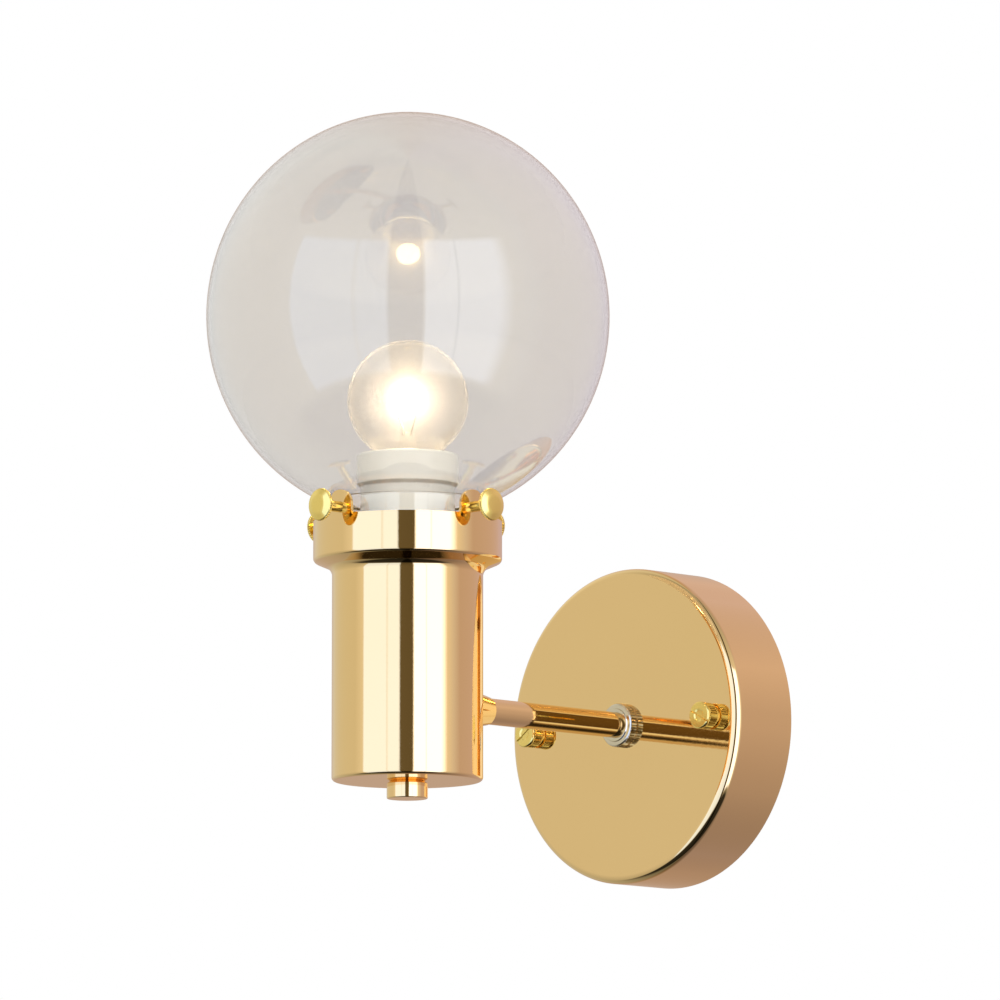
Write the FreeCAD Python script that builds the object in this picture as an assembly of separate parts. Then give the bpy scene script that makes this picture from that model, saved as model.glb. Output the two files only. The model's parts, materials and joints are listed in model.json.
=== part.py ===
"""Globe wall sconce: a clear glass globe held by four thumb screws in a polished cup,
on a straight arm that stands out from a round wall plate.

Millimetres. The origin is on the wall, on the axis of the wall plate and of the arm.
+Y points into the wall, so the arm runs towards -Y; +X is to the right for someone who
faces the wall; +Z is up.
"""
import FreeCAD, Part
import math
import os

from FreeCAD import Vector

os.makedirs("parts", exist_ok=True)

# ---------------------------------------------------------------- driving dimensions
# wall plate and what fastens it
PLATE_R = 60.0
PLATE_DEPTH = 30.0
PLATE_WALL = 1.0
PLATE_EDGE_R = 3.2
STUD_SPAN = 93.0            # between the two slotted nuts on the plate
STUD_R = 1.95
STUD_END = 35.5             # how far a stud stands out from the wall
RIM_HOLE_R = 1.6            # small hole in the top of the plate's side

BRACKET_THICK = 1.5
BRACKET_WIDTH = 18.0
BRACKET_RAISE = 4.0         # height of the raised ends that cover the stud heads
BRACKET_FLAT_HALF = 33.0
BRACKET_STEP_HALF = 37.0
BRACKET_HALF = 52.0
WALL_SLOT_SPAN = 48.0
WALL_SLOT_LONG = 12.0
WALL_SLOT_R = 2.25
CABLE_HOLE_R = 5.5
BLOCK_FOOT = 21.0           # terminal block, above the arm
BLOCK_TOP = 35.0
BLOCK_DEPTH = 11.0
BLOCK_WIDTH = 19.0
BLOCK_WIRE_OUT = 5.0        # from the middle of the block to each of its two ways
EARTH_SCREW_X = 12.0
EARTH_SCREW_DOWN = 5.5      # from the arm's axis down to the earth screw
PLATE_NUT_R = 4.95
PLATE_NUT_HIGH = 6.4
LEFT_SLOT_TURN = 35
RIGHT_SLOT_TURN = -28
M3_R = 1.5

# arm
ARM_R = 4.9
ARM_BORE_R = 3.6
ARM_BACK = 22.0             # rear end of the arm, from the wall
RING_NUT_R = 8.3
RING_NUT_THICK = 3.6
M10_NUT_FLATS = 14.0
M10_NUT_HIGH = 3.0
FERRULE_LONG = 13.0
FERRULE_BASE_R = 8.0
FERRULE_TIP_R = 5.3

# cup with its gallery collar
CUP_REACH = 143.0           # from the wall to the cup's upright axis
CUP_R = 28.0
CUP_WALL = 1.2
CUP_BOTTOM = -29.2
COLLAR_R = 35.0
COLLAR_WALL = 1.5
RIM_Z = 67.2
SHOULDER_OUT_Z = 52.5       # outer and inner ends of the sloping shoulder
SHOULDER_IN_Z = 49.5
EAR_R = 6.4
EAR_HOLE_ABOVE_RIM = 2.5
EAR_FOOT_R = 1.6

# thumb screws that hold the globe
SCREW_R = 2.0
SCREW_HEAD_R = 6.0
SCREW_HEAD_IN = 43.7        # inner face of the head, from the cup's axis
SCREW_HEAD_THICK = 1.3
SCREW_DOME = 1.1
LEFT_SCREW_BACKED_OUT = 3.4

# glass globe
GLOBE_R = 75.0
GLOBE_HALF_HIGH = 76.2
GLOBE_Z = 144.4
GLASS_THICK = 1.6
NECK_R = 30.0
NECK_BORE_R = 28.0
NECK_FOOT_Z = 52.6
NECK_TOP_Z = 73.0           # just under the bend between neck and ball

# stem, lampholder and bulb, all on the cup's axis
NIPPLE_R = 4.95
NIPPLE_BORE_R = 3.6
KNOB_R = 7.6
KNOB_HIGH = 6.5
HOLDER_TOP = 92.6
HOLDER_FOOT = 44.0
HOLDER_R = 19.0
HOLDER_LOW_R = 17.6
HOLDER_STEP_Z = 81.5
HOLDER_FLOOR = 57.0         # floor of the socket
HOLDER_SCREW_OUT = 10.5     # holder screws, from the cup's axis
HOLDER_WIRE_X = 11.0
HOLDER_WIRE_Y = 4.0
SHELL_IN_R = 13.3
SHELL_THICK = 0.45
BULB_R = 22.5
BULB_Z = 112.9
CAP_RIDGE_R = 13.2
CAP_ROOT_R = 12.3
CAP_PITCH = 3.63
CAP_TOP = 89.0
CAP_LOW = 65.5
CONTACT_TIP = 60.6
SUPPORT_R = 0.35
SUPPORT_FOOT_Z = 99.5

LEAD_R = 0.9
LEAD_Y = -7.0               # where the leads run down behind the wall plate
CUP_TAG_OUT = 10.0          # earth lead in the cup, from the cup's axis
BLOCK_SCREW_Z = (25.0, 31.0)
FIT = 0.05                  # running clearance, on the radius
AIR = 0.3                   # gap between pieces that only pass each other

# worked out from the dimensions above
CUP_Y = -CUP_REACH
BLOCK_MIDDLE = (BLOCK_FOOT + BLOCK_TOP) / 2
BLOCK_BACK = BRACKET_THICK + 0.05
CUP_TAG_Z = CUP_BOTTOM + CUP_WALL + 0.78 + M10_NUT_HIGH + 0.03
SCREW_Z = RIM_Z + EAR_HOLE_ABOVE_RIM
SCREW_TIP = NECK_R + AIR
ARM_FRONT = CUP_REACH - CUP_R + CUP_WALL + 7.0
STUD_X = STUD_SPAN / 2


# ---------------------------------------------------------------- helpers
def save(shape, node):
    """Write one piece, or one group of like pieces, as its own STEP file."""
    solids = shape.Solids
    assert solids and all(s.isValid() and s.Volume > 0 for s in solids), node
    shape.exportStep("parts/" + node + ".step")
    print(node, len(solids), "solid(s)", round(sum(s.Volume for s in solids), 1), "mm3")


def outline(points):
    """A closed face in the XZ plane from corners (x, z, rounding radius)."""
    corners = [(Vector(x, 0, z), radius) for x, z, radius in points]
    count = len(corners)
    starts, ends = [], []
    for i, (here, radius) in enumerate(corners):
        to_last = (corners[i - 1][0] - here).normalize()
        to_next = (corners[(i + 1) % count][0] - here).normalize()
        if radius <= 0:
            starts.append(here)
            ends.append(here)
            continue
        reach = radius / math.tan(to_last.getAngle(to_next) / 2)
        starts.append(here + to_last * reach)
        ends.append(here + to_next * reach)
    edges = []
    for i, (here, radius) in enumerate(corners):
        if radius > 0:
            inward = ((starts[i] + ends[i]) * 0.5 - here).normalize()
            half = (starts[i] - here).getAngle(inward)
            top = here + inward * (radius / math.sin(half) - radius)
            edges.append(Part.Arc(starts[i], top, ends[i]).toShape())
        after = starts[(i + 1) % count]
        if ends[i].distanceToPoint(after) > 1e-6:
            edges.append(Part.makeLine(ends[i], after))
    return Part.Face(Part.Wire(edges))


def turned(points):
    """A solid of revolution about Z from corners (radius, height, rounding radius)."""
    return outline(points).revolve(Vector(0, 0, 0), Vector(0, 0, 1), 360)


def ring(outer, inner, low, high, edge=0.0):
    """A plain ring about Z with its outer edges rounded."""
    return turned([(inner, low, 0), (outer, low, edge), (outer, high, edge), (inner, high, 0)])


def prism(sides, flats, low, high, bore=0.0):
    """A regular prism about Z, such as a nut, given by its size across flats."""
    corner = flats / 2 / math.cos(math.pi / sides)
    points = [
        Vector(corner * math.cos(2 * math.pi * i / sides), corner * math.sin(2 * math.pi * i / sides), low)
        for i in range(sides + 1)
    ]
    body = Part.Face(Part.makePolygon(points)).extrude(Vector(0, 0, high - low))
    if bore:
        body = body.cut(Part.makeCylinder(bore, high - low, Vector(0, 0, low)))
    return body


def knurl(teeth, radius, depth, low, high):
    """A straight-knurled disc about Z."""
    points = []
    for i in range(2 * teeth + 1):
        r = radius - depth * (i % 2)
        angle = math.pi * i / teeth
        points.append(Vector(r * math.cos(angle), r * math.sin(angle), low))
    return Part.Face(Part.makePolygon(points)).extrude(Vector(0, 0, high - low))


def hex_nut(flats, high, bore):
    """A hexagon nut about Z with its corners turned off at both faces."""
    corner = flats / 2 / math.cos(math.pi / 6)
    chamfer = corner - flats / 2
    turned_blank = turned([
        (0, 0, 0), (flats / 2, 0, 0), (corner, chamfer / 2, 0),
        (corner, high - chamfer / 2, 0), (flats / 2, high, 0), (0, high, 0),
    ])
    return prism(6, flats, 0, high, bore).common(turned_blank)


def from_wall(shape, reach=0.0, x=0.0):
    """Lay a piece made about Z along the arm, so that its +Z points away from the wall."""
    laid = shape.copy()
    laid.rotate(Vector(0, 0, 0), Vector(1, 0, 0), 90)
    laid.translate(Vector(x, -reach, 0))
    return laid


def on_cup(shape, z=0.0):
    """Place a piece made about Z on the cup's upright axis."""
    placed = shape.copy()
    placed.translate(Vector(0, CUP_Y, z))
    return placed


def pin(radius, start, end):
    """A round bar from one point to another."""
    along = end - start
    return Part.makeCylinder(radius, along.Length, start, along)


def wire_path(points, radii):
    """Straight runs joined by tangent arcs, one radius for each inner point."""
    edges = []
    last = points[0]
    for i in range(1, len(points) - 1):
        here = points[i]
        back = (points[i - 1] - here).normalize()
        ahead = (points[i + 1] - here).normalize()
        half = back.getAngle(ahead) / 2
        reach = radii[i - 1] / math.tan(half)
        start = here + back * reach
        end = here + ahead * reach
        middle = (back + ahead).normalize()
        top = here + middle * (radii[i - 1] / math.sin(half) - radii[i - 1])
        edges.append(Part.makeLine(last, start))
        edges.append(Part.Arc(start, top, end).toShape())
        last = end
    edges.append(Part.makeLine(last, points[-1]))
    return Part.Wire(edges)


def lead(points, radii, name):
    """An insulated lead swept along its route; prints its length and its tightest bend."""
    path = wire_path(points, radii)
    along = points[1] - points[0]
    section = Part.Wire([Part.makeCircle(LEAD_R, points[0], along)])
    tube = path.makePipeShell([section], True, False)
    expected = math.pi * LEAD_R ** 2 * path.Length
    assert abs(tube.Volume / expected - 1) < 0.02, name
    print(name, "length", round(path.Length, 1), "mm, tightest bend", min(radii), "mm")
    return tube


# ---------------------------------------------------------------- wall side
def mounting_bracket():
    """Steel strap: flat against the wall, with raised ends that clear the stud heads."""
    top = BRACKET_RAISE + BRACKET_THICK
    tab_foot = BRACKET_WIDTH / 2 - 1
    tab = Part.makeBox(12.0, BLOCK_TOP - tab_foot, BRACKET_THICK, Vector(-6.0, tab_foot, 0))
    half = [
        (BRACKET_FLAT_HALF, 0), (BRACKET_STEP_HALF, BRACKET_RAISE), (BRACKET_HALF, BRACKET_RAISE),
        (BRACKET_HALF, top), (BRACKET_STEP_HALF - 0.8, top), (BRACKET_FLAT_HALF - 0.8, BRACKET_THICK),
    ]
    corners = half + [(-x, z) for x, z in reversed(half)]
    face = outline([(x, z, 0) for x, z in corners])
    strap = face.extrude(Vector(0, BRACKET_WIDTH, 0))
    strap.translate(Vector(0, -BRACKET_WIDTH / 2, 0))
    strap = strap.fuse(tab).removeSplitter()
    cuts = [Part.makeCylinder(CABLE_HOLE_R, top)]
    for side in (-1, 1):
        cuts.append(Part.makeCylinder(STUD_R + FIT, top, Vector(side * STUD_X, 0, 0)))
        straight = WALL_SLOT_LONG - 2 * WALL_SLOT_R
        middle = side * WALL_SLOT_SPAN / 2
        slot = Part.makeBox(straight, 2 * WALL_SLOT_R, top, Vector(middle - straight / 2, -WALL_SLOT_R, 0))
        for end in (-1, 1):
            slot = slot.fuse(Part.makeCylinder(WALL_SLOT_R, top, Vector(middle + end * straight / 2, 0, 0)))
        cuts.append(slot.removeSplitter())
    cuts.append(Part.makeCylinder(M3_R + FIT, top, Vector(EARTH_SCREW_X, -EARTH_SCREW_DOWN, 0)))
    cuts.append(Part.makeCylinder(M3_R + FIT, top, Vector(0, BLOCK_MIDDLE, 0)))
    return from_wall(strap.cut(Part.makeCompound(cuts)))


def bracket_studs():
    """Two screws whose heads sit behind the strap's raised ends."""
    head_low = BRACKET_RAISE - 2.5
    stud = turned([
        (0, head_low, 0), (3.6, head_low, 0.6), (3.6, BRACKET_RAISE, 0),
        (STUD_R, BRACKET_RAISE, 0), (STUD_R, STUD_END - 0.6, 0), (STUD_R - 0.6, STUD_END, 0), (0, STUD_END, 0),
    ])
    return Part.makeCompound([from_wall(stud, 0, side * STUD_X) for side in (-1, 1)])


def stud_lock_nuts():
    nut = hex_nut(7.0, 3.0, STUD_R + FIT)
    seat = BRACKET_RAISE + BRACKET_THICK
    return Part.makeCompound([from_wall(nut, seat, side * STUD_X) for side in (-1, 1)])


def earth_screw():
    """Pan-head screw in the strap, for the earth lead."""
    base = BRACKET_THICK
    screw = turned([
        (0, 0.2, 0), (M3_R, 0.2, 0), (M3_R, base + 0.9, 0), (2.9, base + 0.9, 0),
        (2.9, base + 2.6, 0.8), (0, base + 2.6, 0),
    ])
    slot = Part.makeBox(7.0, 0.7, 1.0, Vector(-3.5, -0.35, base + 1.9))
    placed = screw.cut(slot)
    placed.translate(Vector(EARTH_SCREW_X, -EARTH_SCREW_DOWN, 0))
    return from_wall(placed)


def earth_tag():
    """Ring terminal crimped on the earth lead, under the earth screw."""
    base = BRACKET_THICK + 0.05
    tongue = Part.makeCylinder(3.0, 0.8, Vector(EARTH_SCREW_X, -EARTH_SCREW_DOWN, base))
    tongue = tongue.fuse(Part.makeBox(2.6, 6.0, 0.8, Vector(EARTH_SCREW_X - 1.3, -13.5, base)))
    barrel = Part.makeCylinder(1.5, 5.0, Vector(EARTH_SCREW_X, -13.0, base + 1.5), Vector(0, -1, 0))
    mouth = Vector(EARTH_SCREW_X, -13.4, base + 1.5)
    barrel = barrel.cut(Part.makeCylinder(LEAD_R + 0.02, 6.0, mouth, Vector(0, -1, 0)))
    tag = tongue.fuse(barrel).removeSplitter()
    return from_wall(tag.cut(Part.makeCylinder(M3_R + FIT, 3.0, Vector(EARTH_SCREW_X, -EARTH_SCREW_DOWN, 0))))


def wall_plate():
    """Spun plate: a shallow round cup, open to the wall."""
    inner = PLATE_R - PLATE_WALL
    face = PLATE_DEPTH - PLATE_WALL
    shell = turned([
        (inner, 0, 0), (PLATE_R, 0, 0), (PLATE_R, PLATE_DEPTH, PLATE_EDGE_R),
        (ARM_R + FIT, PLATE_DEPTH, 0), (ARM_R + FIT, face, 0), (inner, face, PLATE_EDGE_R - PLATE_WALL),
    ])
    cuts = [
        Part.makeCylinder(STUD_R + 0.25, PLATE_DEPTH + 1, Vector(side * STUD_X, 0, 0)) for side in (-1, 1)
    ]
    shell = shell.cut(Part.makeCompound(cuts))
    plate = from_wall(shell)
    return plate.cut(Part.makeCylinder(RIM_HOLE_R, 6.0, Vector(0, -PLATE_DEPTH * 0.72, PLATE_R - 3.0)))


def plate_nut(side):
    """Knurled cap nut with a screwdriver slot across its face."""
    seat = PLATE_DEPTH + 0.02
    high = PLATE_NUT_HIGH
    body = knurl(34, PLATE_NUT_R, 0.22, 0.9, high - 1.5)
    body = body.fuse(turned([(0, 0, 0), (4.3, 0, 0), (4.3, 1.0, 0), (0, 1.0, 0)]))
    body = body.fuse(turned([
        (0, high - 1.6, 0), (4.7, high - 1.6, 0), (5.1, high - 1.2, 0.15), (5.1, high - 0.35, 0.3),
        (4.6, high, 0.2), (2.5, high, 0.1), (1.9, high - 0.35, 0.1), (0, high - 0.35, 0),
    ]))
    bore = Part.makeCylinder(STUD_R + FIT, STUD_END - seat + 0.1)
    slot = Part.makeBox(12.0, 0.9, 0.75, Vector(-6.0, -0.45, high - 0.7))
    slot.rotate(Vector(0, 0, 0), Vector(0, 0, 1), RIGHT_SLOT_TURN if side > 0 else LEFT_SLOT_TURN)
    return from_wall(body.cut(bore).cut(slot).removeSplitter(), seat, side * STUD_X)


# ---------------------------------------------------------------- arm
def arm_tube():
    tube = turned([
        (ARM_BORE_R, ARM_BACK, 0), (ARM_R, ARM_BACK, 0.5), (ARM_R, ARM_FRONT, 0.5), (ARM_BORE_R, ARM_FRONT, 0),
    ])
    return from_wall(tube)


def arm_bush():
    """Insulating bush in the rear mouth of the arm, where the leads go in."""
    low = ARM_BACK - 1.2
    flange = turned([
        (2.9, low, 0.3), (ARM_R, low, 0.4), (ARM_R, ARM_BACK - 0.02, 0), (ARM_BORE_R - FIT, ARM_BACK - 0.02, 0),
        (ARM_BORE_R - FIT, ARM_BACK + 5.0, 0), (2.9, ARM_BACK + 5.0, 0),
    ])
    return from_wall(flange)


def arm_ring_nut():
    """Knurled ring nut that clamps the arm on the face of the wall plate."""
    body = knurl(44, RING_NUT_R, 0.35, 0.35, RING_NUT_THICK - 0.5)
    body = body.fuse(ring(RING_NUT_R - 0.4, 0.5, 0, 0.5))
    body = body.fuse(turned([
        (0, 0.4, 0), (RING_NUT_R - 0.25, 0.4, 0), (RING_NUT_R - 0.25, RING_NUT_THICK - 0.35, 0),
        (RING_NUT_R - 0.7, RING_NUT_THICK, 0.15), (6.35, RING_NUT_THICK, 0.1),
        (6.15, RING_NUT_THICK + 0.5, 0.2), (0, RING_NUT_THICK + 0.5, 0),
    ]))
    bore = Part.makeCylinder(ARM_R + FIT, RING_NUT_THICK + 2, Vector(0, 0, -1))
    return from_wall(body.cut(bore).removeSplitter(), PLATE_DEPTH + 0.02)


def toothed_washer(outer, inner, teeth):
    """Thin lock washer with teeth on its outer edge."""
    washer = ring(outer - 1.0, inner, 0, 0.7)
    tooth = Part.makeBox(1.6, 1.1, 0.7, Vector(outer - 1.5, -0.55, 0))
    for i in range(teeth):
        turned_tooth = tooth.copy()
        turned_tooth.rotate(Vector(0, 0, 0), Vector(0, 0, 1), 360 * i / teeth)
        washer = washer.fuse(turned_tooth)
    return washer.removeSplitter()


def arm_rear_washer():
    return from_wall(toothed_washer(8.4, ARM_R + FIT, 10), PLATE_DEPTH - PLATE_WALL - 0.75)


def arm_rear_nut():
    seat = PLATE_DEPTH - PLATE_WALL - 0.8 - M10_NUT_HIGH
    return from_wall(hex_nut(M10_NUT_FLATS, M10_NUT_HIGH, ARM_R + FIT), seat)


def arm_ferrule():
    """Cone that fills the corner between the round cup and the arm."""
    start = CUP_REACH - CUP_R - FERRULE_LONG
    end = CUP_REACH
    cone = turned([
        (ARM_R + FIT, start, 0), (FERRULE_TIP_R, start, 0.15),
        (FERRULE_BASE_R, start + FERRULE_LONG, 0), (FERRULE_BASE_R, end, 0), (ARM_R + FIT, end, 0),
    ])
    return from_wall(cone).cut(on_cup(Part.makeCylinder(CUP_R + 0.02, 60), -30))


def arm_cup_washer():
    """Saddle washer between the round inside of the cup and its nut."""
    inside = CUP_R - CUP_WALL
    low = CUP_REACH - inside - 2
    block = from_wall(ring(8.6, ARM_R + FIT, low, CUP_REACH - inside + 2.0))
    return block.common(on_cup(Part.makeCylinder(inside - 0.03, 60), -30))


def arm_cup_nut():
    return from_wall(hex_nut(M10_NUT_FLATS, M10_NUT_HIGH, ARM_R + FIT), CUP_REACH - CUP_R + CUP_WALL + 2.05)


# ---------------------------------------------------------------- cup
def ear_prism():
    """Round-topped tongue, square to the collar, with small rounded feet on the rim."""
    foot_half = EAR_R * 0.93 + EAR_FOOT_R
    centre = EAR_HOLE_ABOVE_RIM
    disc = Part.makeCylinder(EAR_R, COLLAR_R, Vector(0, 0, centre), Vector(0, -1, 0))
    base = Part.makeBox(2 * EAR_R * 0.93, COLLAR_R, centre, Vector(-EAR_R * 0.93, -COLLAR_R, 0))
    feet = Part.makeBox(2 * foot_half, COLLAR_R, EAR_FOOT_R, Vector(-foot_half, -COLLAR_R, 0))
    for side in (-1, 1):
        hollow = Vector(side * foot_half, 0, EAR_FOOT_R)
        feet = feet.cut(Part.makeCylinder(EAR_FOOT_R, COLLAR_R, hollow, Vector(0, -1, 0)))
    return disc.fuse([base, feet]).common(Part.makeBox(60, COLLAR_R, 20, Vector(-30, -COLLAR_R, -0.5)))


def lamp_cup():
    """Cup and gallery collar in one spun piece, with four ears cut in its rim."""
    inner_r = CUP_R - CUP_WALL
    collar_in = COLLAR_R - COLLAR_WALL
    rise = 1.55
    body = turned([
        (0, CUP_BOTTOM, 0), (CUP_R, CUP_BOTTOM, 1.4), (CUP_R, SHOULDER_IN_Z, 3.5),
        (COLLAR_R, SHOULDER_OUT_Z, 1.5), (COLLAR_R, RIM_Z, 0.25), (collar_in, RIM_Z, 0.25),
        (collar_in, SHOULDER_OUT_Z + rise, 0.4), (inner_r, SHOULDER_IN_Z + rise, 2.0),
        (inner_r, CUP_BOTTOM + CUP_WALL, 0.5), (0, CUP_BOTTOM + CUP_WALL, 0),
    ])
    band = ring(COLLAR_R, collar_in, RIM_Z - 0.3, RIM_Z + EAR_HOLE_ABOVE_RIM + EAR_R + 1)
    cuts = [Part.makeCylinder(NIPPLE_R + FIT, 6, Vector(0, 0, CUP_BOTTOM - 2))]
    cuts.append(Part.makeCylinder(ARM_R + FIT, 20, Vector(0, CUP_R - 10, 0), Vector(0, 1, 0)))
    for quarter in range(4):
        ear = ear_prism()
        ear.translate(Vector(0, 0, RIM_Z))
        ear.rotate(Vector(0, 0, 0), Vector(0, 0, 1), 90 * quarter)
        body = body.fuse(band.common(ear))
        hole = Part.makeCylinder(SCREW_R + FIT, 12, Vector(0, -28, SCREW_Z), Vector(0, -1, 0))
        hole.rotate(Vector(0, 0, 0), Vector(0, 0, 1), 90 * quarter)
        cuts.append(hole)
    return on_cup(body.cut(Part.makeCompound(cuts)).removeSplitter())


def thumb_screw(turn, backed_out):
    """Domed, fine-knurled head on a plain shank that reaches the globe's neck."""
    tip = SCREW_TIP + backed_out
    head = SCREW_HEAD_IN + backed_out
    outer = head + SCREW_HEAD_THICK
    screw = turned([
        (0, tip, 0), (SCREW_R - 0.5, tip, 0), (SCREW_R, tip + 0.5, 0), (SCREW_R, head - 0.6, 0.3),
        (2.9, head, 0), (SCREW_HEAD_R - 0.25, head, 0), (SCREW_HEAD_R - 0.25, outer, 0.3),
        (3.3, outer + SCREW_DOME * 0.85, 4.0), (0, outer + SCREW_DOME, 0),
    ])
    screw = screw.fuse(knurl(44, SCREW_HEAD_R, 0.28, head + 0.25, outer - 0.25)).removeSplitter()
    screw.rotate(Vector(0, 0, 0), Vector(1, 0, 0), 90)
    screw.translate(Vector(0, 0, SCREW_Z))
    screw.rotate(Vector(0, 0, 0), Vector(0, 0, 1), turn)
    return on_cup(screw)


def glass_globe():
    """Blown globe, a little taller than round, with a straight neck, as one shell."""
    def ball(cut):
        crown, side = Vector(0, 0, GLOBE_HALF_HIGH - cut), Vector(GLOBE_R - cut, 0, 0)
        ellipse = Part.Ellipse(crown, side, Vector(0, 0, 0))
        arc = Part.ArcOfEllipse(ellipse, 0, math.pi).toShape()
        ends = [v.Point for v in arc.Vertexes]
        face = Part.Face(Part.Wire([arc, Part.makeLine(ends[-1], ends[0])]))
        body = face.revolve(Vector(0, 0, 0), Vector(0, 0, 1), 360)
        body.translate(Vector(0, 0, GLOBE_Z))
        return body

    def with_neck(cut, radius, low, blend):
        body = ball(cut).fuse(Part.makeCylinder(radius, GLOBE_Z - low, Vector(0, 0, low))).removeSplitter()
        joint = [
            e for e in body.Edges
            if e.BoundBox.ZLength < 0.01 and abs(e.BoundBox.XMax - radius) < 0.05 and e.BoundBox.ZMin > low + 1
        ]
        return body.makeFillet(blend, joint[:1])

    outer = with_neck(0, NECK_R, NECK_FOOT_Z, 2.5)
    foot = [e for e in outer.Edges if abs(e.BoundBox.ZMax - NECK_FOOT_Z) < 0.01 and e.Length > 1]
    outer = outer.makeFillet(0.7, foot)
    hollow = with_neck(GLASS_THICK, NECK_BORE_R, NECK_FOOT_Z - 1, 4.0)
    return on_cup(outer.cut(hollow))


def globe_zone(low, high):
    """The glass between two heights; the three zones of the globe meet face to face."""
    return glass_globe().common(Part.makeCylinder(GLOBE_R + 5, high - low, Vector(0, CUP_Y, low)))


# ---------------------------------------------------------------- stem and lampholder
def bottom_cap_nut():
    """Round cap nut under the cup, on the foot of the threaded stem."""
    top = CUP_BOTTOM - 0.02
    nut = turned([
        (0, top, 0), (KNOB_R - 1.1, top, 0), (KNOB_R, top - 0.9, 0.15),
        (KNOB_R, top - KNOB_HIGH, 0.5), (0, top - KNOB_HIGH, 0),
    ])
    return on_cup(nut.cut(Part.makeCylinder(NIPPLE_R + FIT, 5.2, Vector(0, 0, top - 5.1))))


def threaded_stem():
    """Hollow threaded stem that carries the lampholder and clamps the cup."""
    low = CUP_BOTTOM - 4.9
    high = HOLDER_FOOT - 0.1
    stem = turned([
        (NIPPLE_BORE_R, low, 0), (NIPPLE_R, low, 0.4), (NIPPLE_R, high, 0.4), (NIPPLE_BORE_R, high, 0),
    ])
    port = Part.makeCylinder(1.6, 12, Vector(0, 0, 20), Vector(0, 1, 0))
    return on_cup(stem.cut(port))


def stem_washer():
    return on_cup(toothed_washer(8.6, NIPPLE_R + FIT, 10), CUP_BOTTOM + CUP_WALL + 0.03)


def stem_lock_nut():
    return on_cup(hex_nut(M10_NUT_FLATS, M10_NUT_HIGH, NIPPLE_R + FIT), CUP_BOTTOM + CUP_WALL + 0.78)


def holder_strap():
    """Steel strap riveted under the lampholder, with the stem through its middle."""
    low = HOLDER_FOOT - 1.55
    strap = Part.makeBox(12.0, 30.0, 1.5, Vector(-6.0, -15.0, low))
    strap = strap.common(Part.makeCylinder(15.0, 1.5, Vector(0, 0, low)))
    cuts = [Part.makeCylinder(NIPPLE_R + FIT, 4, Vector(0, 0, low - 1))]
    for side in (-1, 1):
        cuts.append(Part.makeCylinder(M3_R + FIT, 4, Vector(0, side * HOLDER_SCREW_OUT, low - 1)))
    return on_cup(strap.cut(Part.makeCompound(cuts)))


def holder_nut():
    return on_cup(hex_nut(M10_NUT_FLATS, M10_NUT_HIGH, NIPPLE_R + FIT), HOLDER_FOOT - 1.6 - M10_NUT_HIGH)


def holder_screws():
    """Two screws from below the strap up into the porcelain."""
    base = HOLDER_FOOT - 1.6
    screw = turned([
        (0, base - 1.6, 0), (2.6, base - 1.6, 0.6), (2.6, base, 0), (M3_R, base, 0),
        (M3_R, base + 8.0, 0), (0, base + 8.0, 0),
    ])
    pair = []
    for side in (-1, 1):
        placed = screw.copy()
        placed.translate(Vector(0, side * HOLDER_SCREW_OUT, 0))
        pair.append(placed)
    return on_cup(Part.makeCompound(pair))


def lampholder_body():
    """Glazed porcelain lampholder: a deep socket over a solid foot."""
    floor = HOLDER_FLOOR
    bore = SHELL_IN_R + SHELL_THICK + FIT
    body = turned([
        (0, HOLDER_FOOT, 0), (HOLDER_LOW_R - 1.0, HOLDER_FOOT, 0.6), (HOLDER_LOW_R, HOLDER_FOOT + 4, 1.0),
        (HOLDER_LOW_R, HOLDER_STEP_Z - 1.2, 0.8), (HOLDER_R, HOLDER_STEP_Z, 0.6), (HOLDER_R, HOLDER_TOP, 1.2),
        (15.6, HOLDER_TOP, 0.8), (15.2, CAP_TOP, 0.2), (bore, CAP_TOP, 0.1), (bore, floor, 0), (0, floor, 0),
    ])
    cuts = []
    for side in (-1, 1):
        x = side * HOLDER_WIRE_X
        cuts.append(Part.makeCylinder(M3_R + FIT, 9, Vector(0, side * HOLDER_SCREW_OUT, HOLDER_FOOT - 1)))
        cuts.append(Part.makeCylinder(LEAD_R + 0.35, 9, Vector(x, HOLDER_WIRE_Y, HOLDER_FOOT - 1)))
        cuts.append(Part.makeBox(5.0, 6.0, 7.0, Vector(x - 2.5, HOLDER_WIRE_Y - 3.0, HOLDER_FOOT + 7.5)))
    cuts.append(Part.makeCylinder(2.6, floor - HOLDER_FOOT - 3, Vector(0, 0, HOLDER_FOOT + 4)))
    return on_cup(body.cut(Part.makeCompound(cuts)))


def holder_terminals():
    """Brass clamp blocks in the porcelain's foot, one for each lead."""
    blocks = []
    for side in (-1, 1):
        x = side * HOLDER_WIRE_X
        block = Part.makeBox(4.4, 5.4, 4.6, Vector(x - 2.2, HOLDER_WIRE_Y - 2.7, HOLDER_FOOT + 7.8))
        wire_hole = Part.makeCylinder(LEAD_R + 0.05, 3.0, Vector(x, HOLDER_WIRE_Y, HOLDER_FOOT + 6.0))
        blocks.append(block.cut(wire_hole))
    return on_cup(Part.makeCompound(blocks))


def screw_shell():
    """Thin brass shell that takes the bulb's cap."""
    low = HOLDER_FLOOR + 0.1
    outer = SHELL_IN_R + SHELL_THICK
    return on_cup(turned([
        (8.0, low, 0), (outer, low, 0.9), (outer, CAP_TOP - 0.8, 0), (SHELL_IN_R, CAP_TOP - 0.8, 0),
        (SHELL_IN_R, low + SHELL_THICK, 0.4), (8.0, low + SHELL_THICK, 0),
    ]))


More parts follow.
